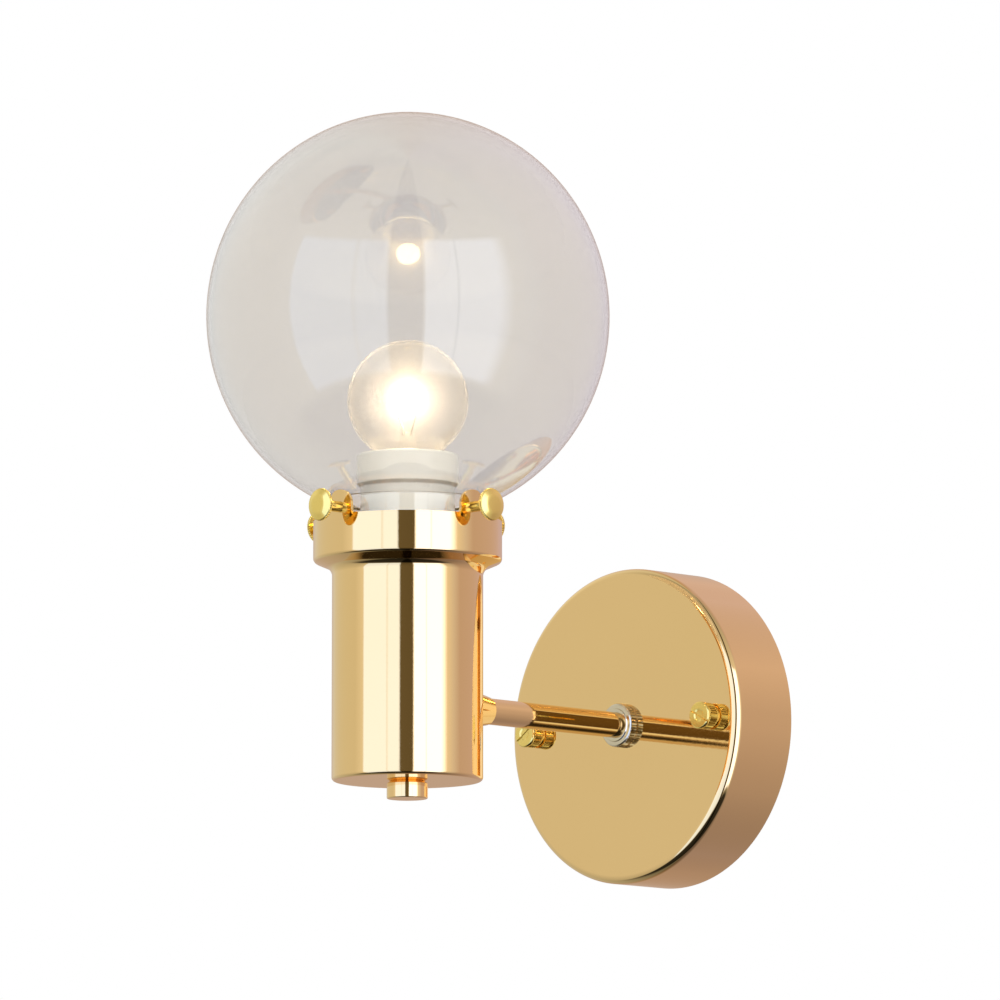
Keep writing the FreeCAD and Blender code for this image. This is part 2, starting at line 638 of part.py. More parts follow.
def centre_contact():
    """Sprung brass tongue under the bulb, on its rivet through the porcelain floor."""
    rivet = Part.makeCylinder(1.2, 5.0, Vector(0, 0, 53.0))
    strip = outline([
        (-6.0, 57.1, 0), (6.0, 57.1, 0), (6.4, 57.5, 0), (6.4, 59.6, 0), (0.0, 60.2, 0), (-3.0, 59.9, 0),
        (-3.0, 59.5, 0), (0.0, 59.8, 0), (6.0, 59.2, 0), (6.0, 57.5, 0), (-6.0, 57.5, 0),
    ]).extrude(Vector(0, 4.0, 0))
    strip.translate(Vector(0, -2.0, 0))
    return on_cup(strip.fuse(rivet).removeSplitter())


# ---------------------------------------------------------------- bulb
def bulb_glass():
    """Clear round bulb that narrows to a neck in its cap."""
    def skin(cut):
        neck = 12.0 - cut
        r = BULB_R - cut
        blend = 9.0 + cut
        # the neck's fillet centre is (neck + blend) off the axis and (r + blend) from the ball's centre
        drop = math.sqrt((r + blend) ** 2 - (neck + blend) ** 2)
        touch = r / (r + blend)
        low = Vector(neck, 0, CAP_TOP - 6.0)
        neck_end = Vector(neck, 0, BULB_Z - drop)
        ball_end = Vector((neck + blend) * touch, 0, BULB_Z - drop * touch)
        centre = Vector(neck + blend, 0, BULB_Z - drop)
        inward = ((neck_end + ball_end) * 0.5 - centre).normalize()
        fillet = Part.Arc(neck_end, centre + inward * blend, ball_end).toShape()
        top = Vector(0, 0, BULB_Z + r)
        ball = Part.Arc(ball_end, Vector(r, 0, BULB_Z), top).toShape()
        foot = Vector(0, 0, CAP_TOP - 6.0)
        wire = Part.Wire([
            Part.makeLine(foot, low), Part.makeLine(low, neck_end), fillet, ball, Part.makeLine(top, foot),
        ])
        return Part.Face(wire).revolve(Vector(0, 0, 0), Vector(0, 0, 1), 360)

    return on_cup(skin(0).cut(skin(0.7)))


def bulb_cap():
    """Screw cap of the bulb, its round thread drawn as rings."""
    neck_bore = 12.05
    low_bore = CAP_ROOT_R - 1.4
    step = CAP_TOP - 6.05
    corners = [(CAP_ROOT_R - 0.2, CAP_TOP - 0.2, 0), (CAP_ROOT_R, CAP_TOP - 0.6, 0)]
    ridges = 5
    first = CAP_TOP - 5.5
    for i in range(ridges):
        z = first - i * CAP_PITCH
        corners.append((CAP_ROOT_R, z + CAP_PITCH * 0.42, 0))
        corners.append((CAP_RIDGE_R, z, 0.8))
    last = first - ridges * CAP_PITCH
    corners += [(CAP_ROOT_R, last + CAP_PITCH * 0.42, 0), (CAP_ROOT_R - 1.0, CAP_LOW, 0)]
    corners += [(low_bore, CAP_LOW, 0), (low_bore, step, 0)]
    corners += [(neck_bore, step, 0), (neck_bore, CAP_TOP - 0.2, 0)]
    return on_cup(turned(corners))


def bulb_insulator():
    return on_cup(turned([
        (0, CAP_LOW - 0.05, 0), (CAP_ROOT_R - 1.2, CAP_LOW - 0.05, 0), (6.2, CONTACT_TIP + 1.6, 0.5),
        (4.9, CONTACT_TIP + 1.4, 0), (0, CONTACT_TIP + 1.4, 0),
    ]))


def bulb_contact():
    return on_cup(turned([
        (0, CONTACT_TIP + 1.35, 0), (4.7, CONTACT_TIP + 1.35, 0),
        (3.8, CONTACT_TIP + 0.2, 0.6), (0, CONTACT_TIP, 0),
    ]))


def bulb_stem():
    """Glass mount inside the bulb, flared at its foot, with the lead-in wires let into its top."""
    body = turned([
        (0, CAP_TOP - 4.0, 0), (9.5, CAP_TOP - 4.0, 0.3), (9.5, CAP_TOP - 3.2, 0.3), (4.4, CAP_TOP + 3.0, 4.0),
        (3.6, 96.5, 0.5), (2.6, SUPPORT_FOOT_Z + 1.5, 1.2), (0, SUPPORT_FOOT_Z + 1.5, 0),
    ])
    return on_cup(body.cut(Part.makeCompound(support_pins(SUPPORT_R + 0.02))))


def support_pins(radius):
    return [
        pin(radius, Vector(side * 1.2, 0, SUPPORT_FOOT_Z), Vector(side * 7.0, 0, 112.6)) for side in (-1, 1)
    ]


def bulb_supports():
    """Two lead-in wires that spread from the stem to the ends of the filament."""
    return on_cup(Part.makeCompound(support_pins(SUPPORT_R)))


def bulb_filament():
    """Coiled tungsten wire between the supports, as one shallow arch."""
    span = 7.0
    arch = Part.Arc(Vector(-span, 0, 113.1), Vector(0, 0, 115.4), Vector(span, 0, 113.1)).toShape()
    start = arch.valueAt(arch.FirstParameter)
    section = Part.Wire([Part.makeCircle(0.45, start, arch.tangentAt(arch.FirstParameter))])
    return on_cup(Part.Wire([arch]).makePipeShell([section], True, False))


# ---------------------------------------------------------------- wiring
def terminal_block():
    """Two-way screw terminal block on the strap's upright tab."""
    face = -BLOCK_BACK - BLOCK_DEPTH
    corner = Vector(-BLOCK_WIDTH / 2, face, BLOCK_FOOT)
    body = Part.makeBox(BLOCK_WIDTH, BLOCK_DEPTH, BLOCK_TOP - BLOCK_FOOT, corner)
    cuts = [Part.makeCylinder(M3_R + FIT, 20, Vector(0, 0, BLOCK_MIDDLE), Vector(0, -1, 0))]
    for x in (-BLOCK_WIRE_OUT, BLOCK_WIRE_OUT):
        cuts.append(Part.makeCylinder(LEAD_R + 0.35, 14.2, Vector(x, LEAD_Y, BLOCK_FOOT - 0.1)))
        for z in BLOCK_SCREW_Z:
            cuts.append(Part.makeCylinder(1.9, 5.0, Vector(x, face - 0.5, z), Vector(0, 1, 0)))
    return body.cut(Part.makeCompound(cuts))


def terminal_screws():
    """Clamp screws of the terminal block."""
    face = -BLOCK_BACK - BLOCK_DEPTH
    screws = []
    for x in (-BLOCK_WIRE_OUT, BLOCK_WIRE_OUT):
        for z in BLOCK_SCREW_Z:
            screw = pin(1.7, Vector(x, face + 4.4, z), Vector(x, face + 1.4, z))
            slot = Part.makeBox(4.0, 0.6, 0.8, Vector(x - 2.0, face + 1.3, z - 0.4))
            screws.append(screw.cut(slot))
    return Part.makeCompound(screws)


def block_screw():
    """Screw that holds the terminal block on the strap's tab."""
    front = BLOCK_BACK + BLOCK_DEPTH + 0.03
    screw = turned([
        (0, 0.1, 0), (M3_R, 0.1, 0), (M3_R, front, 0),
        (2.8, front, 0), (2.8, front + 1.8, 0.8), (0, front + 1.8, 0),
    ])
    slot = Part.makeBox(7.0, 0.7, 0.9, Vector(-3.5, -0.35, front + 1.1))
    placed = from_wall(screw.cut(slot))
    placed.translate(Vector(0, 0, BLOCK_MIDDLE))
    return placed


def supply_lead(side):
    """Lead from the terminal block through the arm and up to the lampholder."""
    inside = side * 1.35
    points = [
        Vector(side * BLOCK_WIRE_OUT, LEAD_Y, BLOCK_FOOT + 2.0),
        Vector(side * BLOCK_WIRE_OUT, LEAD_Y, BLOCK_FOOT - 1.5),
        Vector(inside, LEAD_Y, 0.95), Vector(inside, CUP_Y + 8.0, 0.95), Vector(side * 9.0, CUP_Y + 5.5, 24.0),
        Vector(side * HOLDER_WIRE_X, CUP_Y + HOLDER_WIRE_Y, 36.0),
        Vector(side * HOLDER_WIRE_X, CUP_Y + HOLDER_WIRE_Y, HOLDER_FOOT + 8.5),
    ]
    return lead(points, [9.0, 9.0, 10.0, 20.0, 20.0], "lead " + str(side))


def earth_lead():
    """Lead from the strap's earth screw through the arm to the tag on the cup's floor."""
    height = -1.25
    start_y = -BRACKET_THICK - 1.55
    points = [
        Vector(EARTH_SCREW_X, start_y, -13.6), Vector(EARTH_SCREW_X, start_y, -27.0), Vector(0, LEAD_Y, -27.0),
        Vector(0, LEAD_Y, height), Vector(0, CUP_Y + CUP_TAG_OUT, height),
        Vector(0, CUP_Y + CUP_TAG_OUT, CUP_TAG_Z + 2.4),
    ]
    return lead(points, [5.6, 5.6, 8.0, 8.0], "earth lead")


def cup_earth_tag():
    """Ring terminal of the earth lead on the cup's lock nut, its barrel turned up."""
    thick = 0.8
    plate = Part.makeCylinder(7.6, thick, Vector(0, 0, CUP_TAG_Z))
    plate = plate.fuse(Part.makeBox(3.4, CUP_TAG_OUT, thick, Vector(-1.7, 0, CUP_TAG_Z)))
    plate = plate.fuse(Part.makeCylinder(1.7, 6.5, Vector(0, CUP_TAG_OUT, CUP_TAG_Z)))
    cuts = [
        Part.makeCylinder(NIPPLE_R + FIT, 3, Vector(0, 0, CUP_TAG_Z - 1)),
        Part.makeCylinder(LEAD_R + 0.04, 6, Vector(0, CUP_TAG_OUT, CUP_TAG_Z + 2.3)),
    ]
    return on_cup(plate.removeSplitter().cut(Part.makeCompound(cuts)))


NODES = {
    "mounting_bracket": mounting_bracket,
    "bracket_studs": bracket_studs,
    "stud_lock_nuts": stud_lock_nuts,
    "earth_screw": earth_screw,
    "earth_tag": earth_tag,
    "cup_earth_tag": cup_earth_tag,
    "wall_plate": wall_plate,
    "plate_nut_left": lambda: plate_nut(-1),
    "plate_nut_right": lambda: plate_nut(1),
    "arm_tube": arm_tube,
    "arm_bush": arm_bush,
    "arm_ring_nut": arm_ring_nut,
    "arm_rear_washer": arm_rear_washer,
    "arm_rear_nut": arm_rear_nut,
    "arm_ferrule": arm_ferrule,
    "arm_cup_washer": arm_cup_washer,
    "arm_cup_nut": arm_cup_nut,
    "lamp_cup": lamp_cup,
    "thumb_screw_front": lambda: thumb_screw(0, 0),
    "thumb_screw_right": lambda: thumb_screw(90, 0),
    "thumb_screw_wall": lambda: thumb_screw(180, 0),
    "thumb_screw_left": lambda: thumb_screw(270, LEFT_SCREW_BACKED_OUT),
    "globe_neck": lambda: globe_zone(NECK_FOOT_Z - 1, NECK_TOP_Z),
    "globe_bowl": lambda: globe_zone(NECK_TOP_Z, GLOBE_Z),
    "globe_dome": lambda: globe_zone(GLOBE_Z, GLOBE_Z + GLOBE_HALF_HIGH + 1),
    "bottom_cap_nut": bottom_cap_nut,
    "threaded_stem": threaded_stem,
    "stem_washer": stem_washer,
    "stem_lock_nut": stem_lock_nut,
    "holder_strap": holder_strap,
    "holder_nut": holder_nut,
    "holder_screws": holder_screws,
    "lampholder_body": lampholder_body,
    "holder_terminals": holder_terminals,
    "screw_shell": screw_shell,
    "centre_contact": centre_contact,
    "bulb_glass": bulb_glass,
    "bulb_cap": bulb_cap,
    "bulb_insulator": bulb_insulator,
    "bulb_contact": bulb_contact,
    "bulb_stem": bulb_stem,
    "bulb_supports": bulb_supports,
    "bulb_filament": bulb_filament,
    "terminal_block": terminal_block,
    "terminal_screws": terminal_screws,
    "block_screw": block_screw,
    "live_lead": lambda: supply_lead(1),
    "neutral_lead": lambda: supply_lead(-1),
    "earth_lead": earth_lead,
}

for node, make in NODES.items():
    save(make(), node)
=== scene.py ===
# %% [markdown]
# # A globe wall sconce
# This lesson dresses a measured CAD model of a wall light: a clear glass globe stands in a
# polished gold cup, four thumb screws hold its neck, and a straight arm carries the cup from
# a round wall plate. Almost every visible part was turned or spun, so most of the lesson
# draws half an outline and spins it round an axis.

import json
import math
import bmesh
import bpy
from mathutils import Matrix, Vector

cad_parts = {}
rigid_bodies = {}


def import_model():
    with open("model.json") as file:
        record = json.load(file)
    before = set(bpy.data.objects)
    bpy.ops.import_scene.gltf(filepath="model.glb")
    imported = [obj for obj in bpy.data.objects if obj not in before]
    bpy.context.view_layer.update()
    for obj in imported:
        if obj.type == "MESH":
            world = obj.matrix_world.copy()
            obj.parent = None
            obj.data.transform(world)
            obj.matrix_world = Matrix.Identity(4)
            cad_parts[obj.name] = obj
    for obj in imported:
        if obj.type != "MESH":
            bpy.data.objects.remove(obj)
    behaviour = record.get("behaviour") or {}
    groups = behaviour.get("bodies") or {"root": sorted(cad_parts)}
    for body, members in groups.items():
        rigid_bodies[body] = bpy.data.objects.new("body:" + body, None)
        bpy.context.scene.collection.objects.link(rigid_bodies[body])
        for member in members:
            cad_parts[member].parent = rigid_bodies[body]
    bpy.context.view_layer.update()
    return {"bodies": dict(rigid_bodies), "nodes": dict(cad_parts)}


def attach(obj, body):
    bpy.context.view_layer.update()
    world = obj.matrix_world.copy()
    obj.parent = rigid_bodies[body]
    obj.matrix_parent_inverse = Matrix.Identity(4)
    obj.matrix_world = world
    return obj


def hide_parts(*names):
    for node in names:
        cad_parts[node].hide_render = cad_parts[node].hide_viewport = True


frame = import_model()

# %% [markdown]
# ## Sizes
# The pieces below take their sizes from the CAD model: the cup's axis is 143 mm from the
# wall, and its rim is 67.2 mm above the arm. Blender works in metres, so one small factor
# turns the maker's millimetres into scene units.

# %% Shared sizes
MM = 0.001
CUP_Y = -143.0
CUP_FOOT = -29.2
GLOBE_Z = 144.4
PLATE_DEPTH = 30.0
STUD_X = 46.5
RIM_Z = 67.2
SCREW_Z = RIM_Z + 2.5
CUP_R = 28.0
COLLAR_R = 35.0
ARM_R = 4.9

# %% [markdown]
# ## Camera
# The photograph was taken with a long lens from the front right and slightly below, which
# shows the underside of the cup. The long lens keeps the circles of the cup almost flat.
# The angles and the distance were fitted to the outlines of globe, collar, barrel and plate.

# %% Camera
TURN, LIFT = math.radians(45.47), math.radians(-7.82)
view_right = Vector((math.cos(TURN), math.sin(TURN), 0))
view_back = Vector((math.sin(TURN) * math.cos(LIFT), -math.cos(TURN) * math.cos(LIFT), math.sin(LIFT)))
view_up = view_back.cross(view_right)
aim = Vector((0, -71.5, 60)) * MM + view_right * -16.75 * MM + view_up * 22.28 * MM
camera = bpy.data.objects.new("camera", bpy.data.cameras.new("camera"))
bpy.context.scene.collection.objects.link(camera)
camera.location = aim + view_back * 3.01444
camera.rotation_mode = "QUATERNION"
camera.rotation_quaternion = view_back.to_track_quat("Z", "Y")
camera.data.sensor_width = 36.0
camera.data.lens = 8000.0 * 36.0 / 1000.0
camera.data.clip_start, camera.data.clip_end = 0.05, 30.0
bpy.context.scene.camera = camera
print("camera at", [round(c, 3) for c in camera.location], "lens", round(camera.data.lens, 1))

# %% [markdown]
# ## Turning an outline
# A lathe part is fully told by half of its section. `outline` puts a few corner points in the
# upright XZ plane and rounds the chosen ones with a vertex bevel, the same move as Ctrl+Shift+B
# in the editor. The distance that the bevel slides along the edges follows from the wanted
# radius and the corner's angle. `turn` spins the line once round and welds the seam.

# %% Outline and lathe helpers
def outline(corners, closed=True):
    """Edges through (radius, height, rounding) in millimetres, as a new bmesh."""
    bm = bmesh.new()
    verts = [bm.verts.new((r * MM, 0, z * MM)) for r, z, _ in corners]
    places = [v.co.copy() for v in verts]
    count = len(verts)
    for i in range(count if closed else count - 1):
        bm.edges.new((verts[i], verts[(i + 1) % count]))
    for i, (_, _, rounding) in enumerate(corners):
        if rounding:
            to_last = places[i - 1] - places[i]
            to_next = places[(i + 1) % count] - places[i]
            reach = rounding * MM / math.tan(to_last.angle(to_next) / 2)
            steps = 3 if rounding < 0.4 else 6 if rounding < 2 else 12
            bmesh.ops.bevel(bm, geom=[verts[i]], offset=reach, offset_type="OFFSET", affect="VERTICES",
                            segments=steps, profile=0.5, material=-1)
    return bm


def turn(bm, steps=160):
    """Spin everything once round the Z axis and close it."""
    bmesh.ops.spin(bm, geom=bm.verts[:] + bm.edges[:], cent=(0, 0, 0), axis=(0, 0, 1),
                   angle=math.tau, steps=steps, use_merge=True, use_duplicate=False)
    bmesh.ops.remove_doubles(bm, verts=bm.verts, dist=1e-6)
    bmesh.ops.dissolve_degenerate(bm, edges=bm.edges, dist=1e-7)
    bmesh.ops.recalc_face_normals(bm, faces=bm.faces)
    return bm


def turned(corners, closed=True, steps=160):
    return turn(outline(corners, closed), steps)


# %% [markdown]
# ## Laying a turned part in place
# Turned parts are drawn about an upright axis. The cup, globe, holder and bulb stay upright
# and only move out to the cup's axis. The plate, the arm and their nuts are laid on their
# side, so that their upward direction points away from the wall.

# %% Placing helpers
def to_cup(bm, z=0.0):
    bmesh.ops.translate(bm, vec=(0, CUP_Y * MM, z * MM), verts=bm.verts)
    return bm


def from_wall(bm, reach=0.0, x=0.0):
    bmesh.ops.rotate(bm, cent=(0, 0, 0), matrix=Matrix.Rotation(math.radians(90), 3, "X"), verts=bm.verts)
    bmesh.ops.translate(bm, vec=(x * MM, -reach * MM, 0), verts=bm.verts)
    return bm


def add_to(bm, other):
    """Copy another part into this one, as a shape of the same piece."""
    spare = bpy.data.meshes.new("spare")
    other.to_mesh(spare)
    other.free()
    bm.from_mesh(spare)
    bpy.data.meshes.remove(spare)
    return bm


# %% [markdown]
# ## Knurling
# Fingers grip the screws and nuts by their knurled rims. A straight knurl is a disc whose edge
# goes in and out, so `knurled` makes a many-sided disc, pulls every second corner inwards and
# bevels its two faces' edges, which gives each tooth a small bright end.

# %% Knurl helper
def knurled(teeth, radius, depth, low, high, soft=0.12):
    bm = bmesh.new()
    bmesh.ops.create_cone(bm, cap_ends=True, segments=2 * teeth, radius1=radius * MM, radius2=radius * MM,
                          depth=(high - low) * MM)
    for v in bm.verts:
        place = math.atan2(v.co.y, v.co.x) / math.tau * 2 * teeth
        if round(place) % 2:
            v.co.xy *= 1 - depth / radius
    bmesh.ops.translate(bm, vec=(0, 0, (low + high) / 2 * MM), verts=bm.verts)
    rims = [e for e in bm.edges if abs(e.verts[0].co.z - e.verts[1].co.z) < 1e-7]
    bmesh.ops.bevel(bm, geom=rims, offset=soft * MM, offset_type="OFFSET", affect="EDGES", segments=2,
                    profile=0.5, material=-1)
    bmesh.ops.recalc_face_normals(bm, faces=bm.faces)
    return bm


# %% [markdown]
# ## Cutting holes
# Screw holes and slots are cut with the Boolean modifier, then the result is kept as a plain
# mesh and the cutter is thrown away. `kept` does that keeping for any stack of modifiers.

# %% Cutting helpers
def kept(piece):
    graph = bpy.context.evaluated_depsgraph_get()
    fresh = bpy.data.meshes.new_from_object(piece.evaluated_get(graph))
    old = piece.data
    piece.modifiers.clear()
    piece.data = fresh
    bpy.data.meshes.remove(old)
    return piece


def as_object(name, bm):
    mesh = bpy.data.meshes.new(name)
    bm.to_mesh(mesh)
    bm.free()
    made = bpy.data.objects.new(name, mesh)
    bpy.context.scene.collection.objects.link(made)
    return made


def cut(piece, cutters, how="DIFFERENCE"):
    for bm in cutters:
        tool = as_object("cutter", bm)
        step = piece.modifiers.new("cut", "BOOLEAN")
        step.operation, step.solver, step.object = how, "EXACT", tool
        kept(piece)
        spent = tool.data
        bpy.data.objects.remove(tool)
        bpy.data.meshes.remove(spent)
    return piece


def rod(radius, start, end, sides=48):
    """A round bar between two points in millimetres, for a hole or a pin."""
    start, end = Vector(start) * MM, Vector(end) * MM
    along = end - start
    bm = bmesh.new()
    bmesh.ops.create_cone(bm, cap_ends=True, segments=sides, radius1=radius * MM, radius2=radius * MM,
                          depth=along.length)
    bmesh.ops.rotate(bm, cent=(0, 0, 0), matrix=along.to_track_quat("Z", "Y").to_matrix(), verts=bm.verts)
    bmesh.ops.translate(bm, vec=(start + end) / 2, verts=bm.verts)
    return bm


def block(low, high):
    low, high = Vector(low) * MM, Vector(high) * MM
    bm = bmesh.new()
    bmesh.ops.create_cube(bm, size=1)
    bmesh.ops.scale(bm, vec=high - low, verts=bm.verts)
    bmesh.ops.translate(bm, vec=(low + high) / 2, verts=bm.verts)
    return bm


# %% [markdown]
# ## Finishes: what changes over a surface
# No real metal is one flat value. Two small node groups are shared by all finishes. `hand_wear`
# gives a slow and a fine unevenness from 0 to 1, which drives roughness and a very low bump.
# `two_tones` drifts between two close colours. Both read Object coordinates, so the pattern
# stays on the piece when it moves.

# %% Shared node groups
def group_with(name, inputs, outputs):
    tree = bpy.data.node_groups.new(name, "ShaderNodeTree")
    for label, kind, value in inputs:
        socket = tree.interface.new_socket(label, in_out="INPUT", socket_type=kind)
        socket.default_value = value
    for label, kind in outputs:
        tree.interface.new_socket(label, in_out="OUTPUT", socket_type=kind)
    return tree, tree.nodes.new("NodeGroupInput"), tree.nodes.new("NodeGroupOutput")


def add(tree, kind, **values):
    node = tree.nodes.new(kind)
    for key, value in values.items():
        setattr(node, key, value)
    return node


def noise(tree, scale, detail=3.0):
    where = add(tree, "ShaderNodeTexCoord")
    made = add(tree, "ShaderNodeTexNoise")
    made.inputs["Detail"].default_value = detail
    tree.links.new(where.outputs["Object"], made.inputs["Vector"])
    if isinstance(scale, float):
        made.inputs["Scale"].default_value = scale
    else:
        tree.links.new(scale, made.inputs["Scale"])
    return made.outputs["Fac"]


wear, given, out = group_with(
    "hand_wear",
    [("Scale", "NodeSocketFloat", 30.0), ("Low", "NodeSocketFloat", 0.05), ("High", "NodeSocketFloat", 0.12)],
    [("Value", "NodeSocketFloat"), ("Height", "NodeSocketFloat")])
slow = noise(wear, given.outputs["Scale"])
fine = noise(wear, 900.0, 2.0)
spread = add(wear, "ShaderNodeMapRange", interpolation_type="SMOOTHSTEP")
spread.inputs["From Min"].default_value, spread.inputs["From Max"].default_value = 0.3, 0.7
wear.links.new(slow, spread.inputs["Value"])
wear.links.new(given.outputs["Low"], spread.inputs["To Min"])
wear.links.new(given.outputs["High"], spread.inputs["To Max"])
height = add(wear, "ShaderNodeMath", operation="MULTIPLY_ADD")
height.inputs[1].default_value = 0.15
wear.links.new(fine, height.inputs[0])
wear.links.new(slow, height.inputs[2])
wear.links.new(spread.outputs["Result"], out.inputs["Value"])
wear.links.new(height.outputs["Value"], out.inputs["Height"])

tones, given, out = group_with(
    "two_tones",
    [("Scale", "NodeSocketFloat", 20.0), ("Main", "NodeSocketColor", (1, 1, 1, 1)),
     ("Other", "NodeSocketColor", (1, 1, 1, 1))],
    [("Color", "NodeSocketColor")])
blend = add(tones, "ShaderNodeMix", data_type="RGBA")
tones.links.new(noise(tones, given.outputs["Scale"]), blend.inputs["Factor"])
tones.links.new(given.outputs["Main"], blend.inputs["A"])
tones.links.new(given.outputs["Other"], blend.inputs["B"])
tones.links.new(blend.outputs["Result"], out.inputs["Color"])
print("node groups:", wear.name, tones.name)

# %% [markdown]
# ## Finishes: one material for each
# `finish` makes a Principled material around the two groups. Everything that is the same all
# over, such as metallic, transmission or the index of refraction, is typed on the shader's own
# socket. Only colour, roughness and the bump come from the groups.

# %% Material helper
def finish(name, main, other, rough, tone_scale=20.0, wear_scale=30.0, bump=0.02, **plain):
    material = bpy.data.materials.new(name)
    material.use_nodes = True
    tree = material.node_tree
    shader = tree.nodes["Principled BSDF"]
    for label, value in plain.items():
        shader.inputs[label.replace("_", " ")].default_value = value
    colour = add(tree, "ShaderNodeGroup", node_tree=tones)
    colour.inputs["Scale"].default_value = tone_scale
    colour.inputs["Main"].default_value = (*main, 1)
    colour.inputs["Other"].default_value = (*other, 1)
    tree.links.new(colour.outputs["Color"], shader.inputs["Base Color"])
    marks = add(tree, "ShaderNodeGroup", node_tree=wear)
    marks.inputs["Scale"].default_value = wear_scale
    marks.inputs["Low"].default_value, marks.inputs["High"].default_value = rough
    tree.links.new(marks.outputs["Value"], shader.inputs["Roughness"])
    relief = add(tree, "ShaderNodeBump")
    relief.inputs["Strength"].default_value = bump
    relief.inputs["Distance"].default_value = 0.001
    tree.links.new(marks.outputs["Height"], relief.inputs["Height"])
    tree.links.new(relief.outputs["Normal"], shader.inputs["Normal"])
    return material


# %% [markdown]
# ## The finishes of this sconce
# The plating is a pale warm gold, polished to a mirror: metallic 1 and a roughness near 0.05.
# The screws and cap nuts are a yellower brass, the ring nut is nickel, and the hidden steel is
# zinc plated, which is dull and mottled. Colours are linear values.

# %% Metals
polished_gold = finish("polished_gold", (0.95, 0.65, 0.28), (0.93, 0.625, 0.26), (0.03, 0.06), Metallic=1.0)
yellow_brass = finish("yellow_brass", (0.99, 0.75, 0.22), (0.96, 0.69, 0.17), (0.14, 0.24), 90.0, 120.0, Metallic=1.0)
nickel_ring = finish("nickel_ring", (0.76, 0.66, 0.46), (0.70, 0.60, 0.40), (0.10, 0.2), 120.0, 90.0, Metallic=1.0)
zinc_steel = finish("zinc_steel", (0.62, 0.64, 0.67), (0.48, 0.50, 0.54), (0.28, 0.45), 260.0, 180.0, 0.08,
                    Metallic=1.0)
cap_metal = finish("cap_metal", (0.80, 0.79, 0.76), (0.70, 0.69, 0.66), (0.12, 0.25), 150.0, 110.0, Metallic=1.0)
solder = finish("solder", (0.60, 0.60, 0.58), (0.45, 0.45, 0.44), (0.3, 0.5), 400.0, 300.0, 0.3, Metallic=1.0)
tungsten = finish("tungsten", (0.35, 0.33, 0.31), (0.24, 0.23, 0.22), (0.3, 0.5), 400.0, 300.0, Metallic=1.0)

# %% [markdown]
# ## Porcelain, plastics and insulation
# The lampholder is white porcelain under a clear glaze, which a coat gives. The terminal block
# and the bush are moulded plastic, and the leads have soft coloured insulation. The earth
# lead's insulation drifts between two close greens.

# %% Other solids
porcelain = finish("porcelain", (0.95, 0.93, 0.84), (0.92, 0.90, 0.80), (0.16, 0.28), 60.0, 60.0, 0.03,
                   Coat_Weight=1.0, Coat_Roughness=0.08)
white_plastic = finish("white_plastic", (0.80, 0.80, 0.76), (0.74, 0.74, 0.70), (0.38, 0.5), 80.0, 200.0, 0.05)
black_insulator = finish("black_insulator", (0.02, 0.02, 0.022), (0.035, 0.03, 0.03), (0.1, 0.25), 90.0)
brown_insulation = finish("brown_insulation", (0.20, 0.07, 0.03), (0.15, 0.05, 0.02), (0.35, 0.5), 200.0)
blue_insulation = finish("blue_insulation", (0.03, 0.12, 0.42), (0.02, 0.09, 0.34), (0.35, 0.5), 200.0)
green_yellow_insulation = finish("green_yellow_insulation", (0.05, 0.30, 0.06), (0.04, 0.25, 0.05), (0.35, 0.5))

# %% [markdown]
# ## Glass
# Clear glass is the Principled shader with transmission 1 and a roughness of nearly nothing.
# The globe shows as a pale grey: its colour a little under white is painted shade, which darkens
# the white seen through the glass to the greyer room behind it. The bulb is the same glass with a breath
# of haze: a very fine speckle of rough spots spreads the filament's light into a soft glow.
# Shadow and diffuse rays pass straight through both, as light does through a real lamp.

# %% Glass
def let_light_through(material):
    tree = material.node_tree
    rays, clear, both = (add(tree, "ShaderNodeLightPath"), add(tree, "ShaderNodeBsdfTransparent"),
                         add(tree, "ShaderNodeMixShader"))
    either = add(tree, "ShaderNodeMath", operation="MAXIMUM")
    clear.inputs["Color"].default_value = (0.92, 0.92, 0.91, 1)
    tree.links.new(rays.outputs["Is Shadow Ray"], either.inputs[0])
    tree.links.new(rays.outputs["Is Diffuse Ray"], either.inputs[1])
    tree.links.new(either.outputs["Value"], both.inputs["Fac"])
    tree.links.new(tree.nodes["Principled BSDF"].outputs["BSDF"], both.inputs[1])
    tree.links.new(clear.outputs["BSDF"], both.inputs[2])
    tree.links.new(both.outputs["Shader"], tree.nodes["Material Output"].inputs["Surface"])


# The globe's colour under white is painted shade for the greyer room seen through it.
globe_glass = finish("globe_glass", (0.83, 0.80, 0.765), (0.82, 0.79, 0.755), (0.0, 0.008), 8.0, 14.0, 0.001,
                     Transmission_Weight=1.0, IOR=1.80, Specular_IOR_Level=1.0, Specular_Tint=(1.0, 0.95, 0.65, 1.0))
bulb_clear = finish("bulb_clear", (0.97, 0.96, 0.94), (0.96, 0.95, 0.93), (0.0, 0.02), 8.0, 14.0, 0.002,
                    Transmission_Weight=1.0, IOR=1.46)
speckle = noise(bulb_clear.node_tree, 9000.0, 0.0)
haze = add(bulb_clear.node_tree, "ShaderNodeMapRange")
for label, value in {"From Min": 0.58, "From Max": 0.63, "To Min": 0.0, "To Max": 0.55}.items():
    haze.inputs[label].default_value = value
bulb_clear.node_tree.links.new(speckle, haze.inputs["Value"])
bulb_clear.node_tree.links.new(haze.outputs["Result"],
                               bulb_clear.node_tree.nodes["Principled BSDF"].inputs["Roughness"])
for material in (globe_glass, bulb_clear):
    let_light_through(material)
